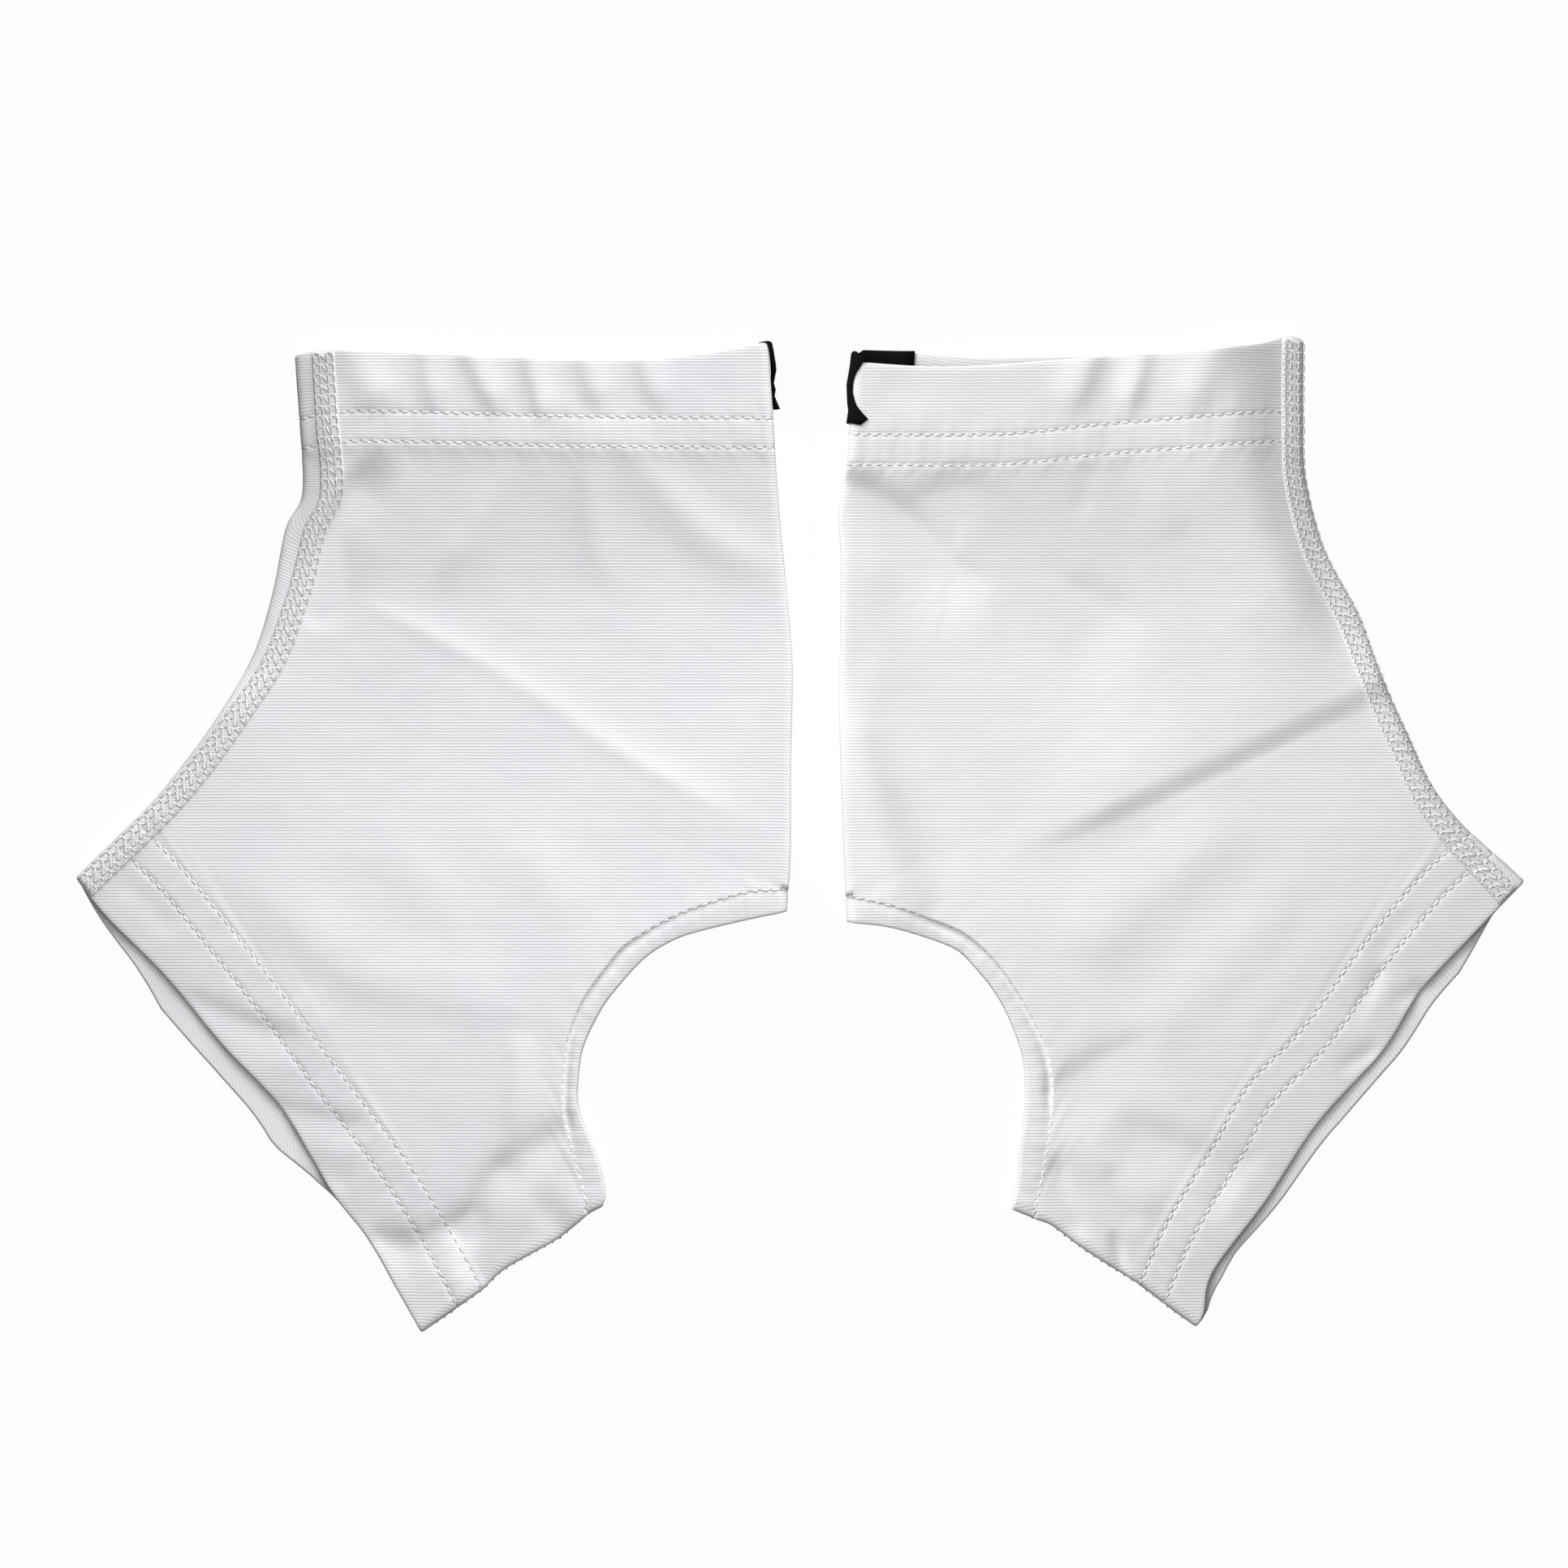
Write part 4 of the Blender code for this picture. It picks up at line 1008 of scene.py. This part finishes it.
def placeGroup(material, name, **values):
    node = material.node_tree.nodes.new("ShaderNodeGroup")
    node.node_tree = bpy.data.node_groups[name]
    for label, value in values.items():
        node.inputs[label].default_value = value
    return node


def knitMaterial(name, look, tint=1.0, waver=0.12):
    material = bpy.data.materials.new(name)
    material.use_nodes = True
    tree = material.node_tree
    shader = tree.nodes["Principled BSDF"]
    shader.inputs["Roughness"].default_value = 0.82
    shader.inputs["Sheen Weight"].default_value = 0.03
    shader.inputs["Sheen Roughness"].default_value = 0.5
    shader.inputs["Specular IOR Level"].default_value = 0.25
    ribs = placeGroup(material, "crossRibs", **{
        "Rib Pitch": knitLook["ribPitch"], "Loop Pitch": knitLook["loopPitch"], "Waver": waver})
    holesAndShade = placeGroup(material, "needleHoles")
    # Rib crests take the ridge colour and rib valleys the darker one: painted shade in the valleys.
    mix = tree.nodes.new("ShaderNodeMix")
    mix.data_type = "RGBA"
    mix.inputs["A"].default_value = (*[c * tint for c in look["valleyPaintedShade"]], 1)
    mix.inputs["B"].default_value = (*[c * tint for c in look["ridge"]], 1)
    tree.links.new(ribs.outputs["Shade"], mix.inputs["Factor"])
    place = tree.nodes.new("ShaderNodeTexCoord")
    cloud = tree.nodes.new("ShaderNodeTexNoise")
    cloud.inputs["Scale"].default_value = 45.0
    cloud.inputs["Detail"].default_value = 3.0
    tree.links.new(place.outputs["Object"], cloud.inputs["Vector"])
    ramp = tree.nodes.new("ShaderNodeValToRGB")
    ramp.color_ramp.elements[0].position = 0.3
    ramp.color_ramp.elements[0].color = (0.955, 0.96, 0.975, 1)
    ramp.color_ramp.elements[1].position = 0.7
    ramp.color_ramp.elements[1].color = (1, 1, 1, 1)
    tree.links.new(cloud.outputs["Fac"], ramp.inputs["Fac"])
    tone = tree.nodes.new("ShaderNodeMix")
    tone.data_type = "RGBA"
    tone.blend_type = "MULTIPLY"
    tone.inputs["Factor"].default_value = 1.0
    tree.links.new(mix.outputs["Result"], tone.inputs["A"])
    tree.links.new(ramp.outputs["Color"], tone.inputs["B"])
    # Painted shade: the colour goes dark grey at each needle hole, besides the dent in the bump.
    dark = tree.nodes.new("ShaderNodeMix")
    dark.data_type = "RGBA"
    dark.inputs["B"].default_value = (0.40, 0.405, 0.42, 1)
    tree.links.new(holesAndShade.outputs["Mask"], dark.inputs["Factor"])
    tree.links.new(tone.outputs["Result"], dark.inputs["A"])
    tree.links.new(dark.outputs["Result"], shader.inputs["Base Color"])
    bump = tree.nodes.new("ShaderNodeBump")
    bump.inputs["Strength"].default_value = 1.0
    bump.inputs["Distance"].default_value = knitLook["ribDepth"]
    depth = mathNode(tree, "SUBTRACT", ribs.outputs["Height"],
                     mathNode(tree, "MULTIPLY", holesAndShade.outputs["Mask"], 1.5))
    tree.links.new(depth, bump.inputs["Height"])
    tree.links.new(bump.outputs["Normal"], shader.inputs["Normal"])
    return material


def threadMaterial(name, colour):
    material = bpy.data.materials.new(name)
    material.use_nodes = True
    tree = material.node_tree
    shader = tree.nodes["Principled BSDF"]
    shader.inputs["Roughness"].default_value = 0.45
    shader.inputs["Sheen Weight"].default_value = 0.2
    place = tree.nodes.new("ShaderNodeTexCoord")
    twist = tree.nodes.new("ShaderNodeTexNoise")
    twist.inputs["Scale"].default_value = 2600.0
    tree.links.new(place.outputs["Object"], twist.inputs["Vector"])
    ramp = tree.nodes.new("ShaderNodeValToRGB")
    ramp.color_ramp.elements[0].position = 0.35
    ramp.color_ramp.elements[0].color = (*[c * 0.82 for c in colour], 1)
    ramp.color_ramp.elements[1].position = 0.6
    ramp.color_ramp.elements[1].color = (*colour, 1)
    tree.links.new(twist.outputs["Fac"], ramp.inputs["Fac"])
    tree.links.new(ramp.outputs["Color"], shader.inputs["Base Color"])
    bump = tree.nodes.new("ShaderNodeBump")
    bump.inputs["Distance"].default_value = 0.00004
    tree.links.new(twist.outputs["Fac"], bump.inputs["Height"])
    tree.links.new(bump.outputs["Normal"], shader.inputs["Normal"])
    return material


def wovenMaterial(name):
    # Black woven tape: fine threads crossing at right angles, rougher and less glossy than the knit.
    material = bpy.data.materials.new(name)
    material.use_nodes = True
    tree = material.node_tree
    shader = tree.nodes["Principled BSDF"]
    shader.inputs["Roughness"].default_value = 0.9
    shader.inputs["Specular IOR Level"].default_value = 0.12
    cut = tree.nodes.new("ShaderNodeUVMap")
    cut.uv_map = "flatCut"
    apart = tree.nodes.new("ShaderNodeSeparateXYZ")
    tree.links.new(cut.outputs["UV"], apart.inputs[0])
    warp = mathNode(tree, "SINE", mathNode(tree, "MULTIPLY", apart.outputs["X"], 250 * 2 * math.pi / 0.35))
    weft = mathNode(tree, "SINE", mathNode(tree, "MULTIPLY", apart.outputs["Y"], 250 * 2 * math.pi / 0.28))
    weave = mathNode(tree, "MULTIPLY", mathNode(tree, "ADD", mathNode(tree, "MULTIPLY", warp, weft), 1.0), 0.5)
    ramp = tree.nodes.new("ShaderNodeValToRGB")
    ramp.color_ramp.elements[0].color = (0.0015, 0.0015, 0.0018, 1)
    ramp.color_ramp.elements[1].color = (0.0055, 0.0055, 0.006, 1)
    tree.links.new(weave, ramp.inputs["Fac"])
    tree.links.new(ramp.outputs["Color"], shader.inputs["Base Color"])
    bump = tree.nodes.new("ShaderNodeBump")
    bump.inputs["Distance"].default_value = 0.00005
    tree.links.new(weave, bump.inputs["Height"])
    tree.links.new(bump.outputs["Normal"], shader.inputs["Normal"])
    return material


# A soft key for each spat, from the ankle's side and the gap, and even light from all round.
studio = {
    "aim": (-0.0035, 0.0111, 0.004), "frameWidth": 0.345, "lens": 125.0,
    # Power, size, distance, height in degrees, and each spat's turn from the ankle's side to the gap's.
    "keys": [
        ("Top", 221.0, 2.6, 4.0, 21.0, {"left": 16.0, "right": 34.0}),
        ("Gap", 0.285, 0.20, 0.261, 73.3, {"left": 75.0, "right": 75.0}),
    ],
    "ambient": 0.18, "floorSize": 14.0, "floorSeen": 0.30, "floorGlow": 0.93, "floorGrey": 0.32,
}


def addCamera(scene):
    camera = bpy.data.cameras.new("Camera")
    camera.lens = studio["lens"]
    camera.sensor_width = 36.0
    camera.clip_start, camera.clip_end = 0.01, 50.0
    view = bpy.data.objects.new("Camera", camera)
    above = Vector((0, 0, studio["frameWidth"] * studio["lens"] / 36.0))
    view.location = Vector(studio["aim"]) + above
    scene.collection.objects.link(view)
    scene.camera = view


def addKeys(spat):
    # Lights only the pieces put in the collection that it gives back.
    lit = bpy.data.collections.new(spat["name"] + "Lit")
    for label, power, size, distance, height, turns in studio["keys"]:
        light = bpy.data.lights.new(spat["name"] + label, "AREA")
        light.energy = power
        light.size = size
        key = bpy.data.objects.new(light.name, light)
        height, turn = math.radians(height), math.radians(turns[spat["name"]])
        toLight = Vector((-spat["toe"] * math.sin(turn) * math.cos(height),
                          math.cos(turn) * math.cos(height), math.sin(height)))
        key.location = Vector((spat["toe"] * 0.075, 0, 0)) + toLight * distance
        key.rotation_euler = (-toLight).to_track_quat("-Z", "Y").to_euler()
        bpy.context.scene.collection.objects.link(key)
        key.light_linking.receiver_collection = lit
        key.visible_camera = False
    return lit


def addWorld(scene):
    # White to the camera, and a softer strength for what it lights.
    world = bpy.data.worlds.new("Studio")
    scene.world = world
    world.use_nodes = True
    nodes, links = world.node_tree.nodes, world.node_tree.links
    ambient = nodes["Background"]
    ambient.inputs["Color"].default_value = (1, 1, 1, 1)
    ambient.inputs["Strength"].default_value = studio["ambient"]
    backdrop = nodes.new("ShaderNodeBackground")
    backdrop.inputs["Color"].default_value = (1, 1, 1, 1)
    backdrop.inputs["Strength"].default_value = 1.0
    ray = nodes.new("ShaderNodeLightPath")
    mix = nodes.new("ShaderNodeMixShader")
    links.new(ray.outputs["Is Camera Ray"], mix.inputs["Fac"])
    links.new(ambient.outputs["Background"], mix.inputs[1])
    links.new(backdrop.outputs["Background"], mix.inputs[2])
    links.new(mix.outputs["Shader"], nodes["World Output"].inputs["Surface"])


def addFloor(scene):
    # White paper, which throws back little light so that the folds' lower sides stay dark.
    size = studio["floorSize"] / 2
    mesh = bpy.data.meshes.new("Floor")
    mesh.from_pydata([(-size, -size, -0.0003), (size, -size, -0.0003), (size, size, -0.0003),
                      (-size, size, -0.0003)], [], [(0, 1, 2, 3)])
    floor = bpy.data.objects.new("Floor", mesh)
    scene.collection.objects.link(floor)
    material = bpy.data.materials.new("floorPaper")
    material.use_nodes = True
    nodes, links = material.node_tree.nodes, material.node_tree.links
    shader = nodes["Principled BSDF"]
    shader.inputs["Base Color"].default_value = (*[studio["floorSeen"]] * 3, 1)
    shader.inputs["Roughness"].default_value = 1.0
    shader.inputs["Specular IOR Level"].default_value = 0.0
    shader.inputs["Emission Color"].default_value = (1, 1, 1, 1)
    shader.inputs["Emission Strength"].default_value = studio["floorGlow"]
    grey = nodes.new("ShaderNodeBsdfDiffuse")
    grey.inputs["Color"].default_value = (*[studio["floorGrey"]] * 3, 1)
    ray = nodes.new("ShaderNodeLightPath")
    mix = nodes.new("ShaderNodeMixShader")
    links.new(ray.outputs["Is Camera Ray"], mix.inputs["Fac"])
    links.new(grey.outputs["BSDF"], mix.inputs[1])
    links.new(shader.outputs["BSDF"], mix.inputs[2])
    links.new(mix.outputs["Shader"], nodes["Material Output"].inputs["Surface"])
    mesh.materials.append(material)
    return floor


scene = bpy.context.scene
scene.view_settings.view_transform = "Standard"
addCamera(scene)
addWorld(scene)
floor = addFloor(scene)
ribGroup()
holeAndShadeGroup()
stitchTree()
print("camera, world and floor are set")

pitch = threads["pitch"]
radius = threads["radius"]
dash = threadShape("dashShape", [(-0.40 * pitch, 0.03, -0.16), (-0.24 * pitch, 0.05, 0.02),
                                 (0, 0.02, 0.07), (0.22 * pitch, -0.03, 0.02),
                                 (0.36 * pitch, -0.05, -0.16)], radius)
loopRadius = threads["loopRadius"]
chain = threadShape("chainShape", [(-1.08, -0.10, -0.12), (-0.7, 0.12, 0.06), (0, 0.22, 0.10),
                                   (0.7, 0.12, 0.06), (1.08, -0.10, -0.12)], loopRadius * 1.15)
# Cover threads across the seam: rungs at both sides and slanting ones along the middle.
rung = threadShape("rungShape", [(-0.95, -0.62, -0.02), (-1.05, -0.25, 0.05), (-1.05, 0.25, 0.05),
                                 (-0.95, 0.66, -0.02)], loopRadius)
slant = threadShape("slantShape", [(-1.0, -0.85, 0.0), (-0.45, -0.2, 0.07), (0.3, 0.35, 0.07),
                                   (0.95, 0.88, 0.0)], loopRadius)
overEdge = threadShape("overEdgeShape", [(-0.30, -0.85, -0.5), (-0.15, -0.6, 0.0), (0, -0.3, 0.22),
                                         (0.1, 0.3, 0.22), (0.2, 0.7, 0.0), (0.30, 1.2, -0.5)],
                       radius)

for spat in (leftSpat, rightSpat):
    side = spat["name"]
    curves = curvesOf(spat)
    look = knitLook[side]
    knit = knitMaterial(side + "Knit", look)
    hemKnit = knitMaterial(side + "HemKnit", look, tint=0.985, waver=0.16)
    # The seam band's knit is a darker copy of the knit: painted shade between the seam's threads.
    bandKnitShaded = knitMaterial(side + "BandKnit", look, tint=0.97)
    thread = threadMaterial(side + "Thread", (0.93, 0.93, 0.935))
    woven = wovenMaterial(side + "Woven")

    body, bodyGrid, bodyNormals = makeBody(spat, curves)
    body.data.materials.append(knit)
    print(side, "body", len(body.data.polygons), "faces")
    ankle, ankleGrid, ankleNormals, ankleRing, ankleNeedles = makeHem(spat, curves, "ankle", hemKnit)
    toe, toeGrid, toeNormals, toeRing, toeNeedles = makeHem(spat, curves, "toe", hemKnit)
    heel, _, _, _, heelNeedles = makeHem(spat, curves, "opening", hemKnit)
    print(side, "hems", [len(o.data.polygons) for o in (ankle, toe, heel)], "faces")

    skin = seamSkin((ankleGrid, ankleNormals), (bodyGrid, bodyNormals), (toeGrid, toeNormals))
    band, seamRows, seamMiddles = makeSeamBand(spat, curves, skin, bandKnitShaded)
    chains = sewRows(spat, side + "SeamChains", seamRows, False, chain, thread, pitch, 0.07, 0.1, 4)
    rungs = sewRows(spat, side + "SeamRungs", seamMiddles[::2], False, rung, thread, pitch,
                    0.16, 0.12, 9)
    slants = sewRows(spat, side + "SeamSlants", seamMiddles[1:2], False, slant, thread, pitch,
                     0.25, 0.12, 13)
    seamThread = joinPieces(side + "SeamThread", [chains, rungs, slants])
    print(side, "flat seam", len(seamThread.data.polygons), "thread faces")

    hemThread = sewRows(spat, side + "HemThread", ankleNeedles + toeNeedles + heelNeedles, True,
                        dash, thread, pitch, threads["sway"], 0.15, 21)
    equator = insetColumns + cloth["arcSteps"] // 2
    soleRows = np.array([row[equator] for row in bodyGrid[-27:]])
    toeSole = np.array([row[equator] for row in toeGrid[1:]])
    soleLine = np.vstack([soleRows, toeSole])
    outward = np.vstack([bodyNormals[-27:, equator], toeNormals[1:, equator]])
    first, last = (int(share * len(soleLine)) for share in threads["soleShare"])
    soleThread = sewRows(spat, side + "SoleThread", [(soleLine[first:last], outward[first:last])],
                         False, overEdge, thread, 1.9, 0.5, 0.35, 5)
    print(side, "hem thread", len(hemThread.data.polygons), "faces")

    label = makeLabel(spat, ankleRing, len(ankleGrid), woven)
    leaf = None
    if spat["anklePeek"][-1][1] > 0:
        ringNormals = skinNormals(ankleRing)
        underStart = insetColumns + cloth["arcSteps"] + 1
        columns = [c for c in range(underStart - 5, ringColumns)
                   if ankleRing[len(ankleGrid), c, 0] < 17.8]
        rows = list(range(len(ankleGrid) + 1, len(ankleGrid) + 8))
        leafRows = []
        for row in rows:
            points = ankleRing[row][columns].copy()
            points[:, 2] += 0.35
            points[:, 1] += 0.5 if row < len(ankleGrid) + 5 else 0.0
            leafRows.append(points)
        leafGrid = np.array(leafRows)
        leaf = meshPiece(side + "LabelLeaf", toFrame(spat, leafGrid.reshape(-1, 3)),
                         gridFaces(*leafGrid.shape[:2], closedColumns=False),
                         leafGrid.reshape(-1, 3)[:, :2])
        turnOut(leaf, wholeMesh=False)
        leaf.data.materials.append(woven)
        thicken(leaf, 0.3)

    pieces = [(body, "body", "white_knit"), (ankle, "ankle_hem", "white_knit"),
              (toe, "toe_hem", "white_knit"), (heel, "heel_hem", "white_knit"),
              (band, "instep_seam", "white_thread"), (label, "label", "black_label")]
    if leaf:
        pieces.append((leaf, "label_inner", "black_label"))
    for piece, node, slot in pieces:
        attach(piece, "root")
        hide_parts(f"{side}_{node}")
    lit = addKeys(spat)
    for piece in [piece for piece, _, _ in pieces] + [seamThread, hemThread, soleThread]:
        lit.objects.link(piece)
    for piece in (seamThread, hemThread, soleThread):
        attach(piece, "root")

for shape in (dash, chain, rung, slant, overEdge):
    bpy.data.objects.remove(shape, do_unlink=True)
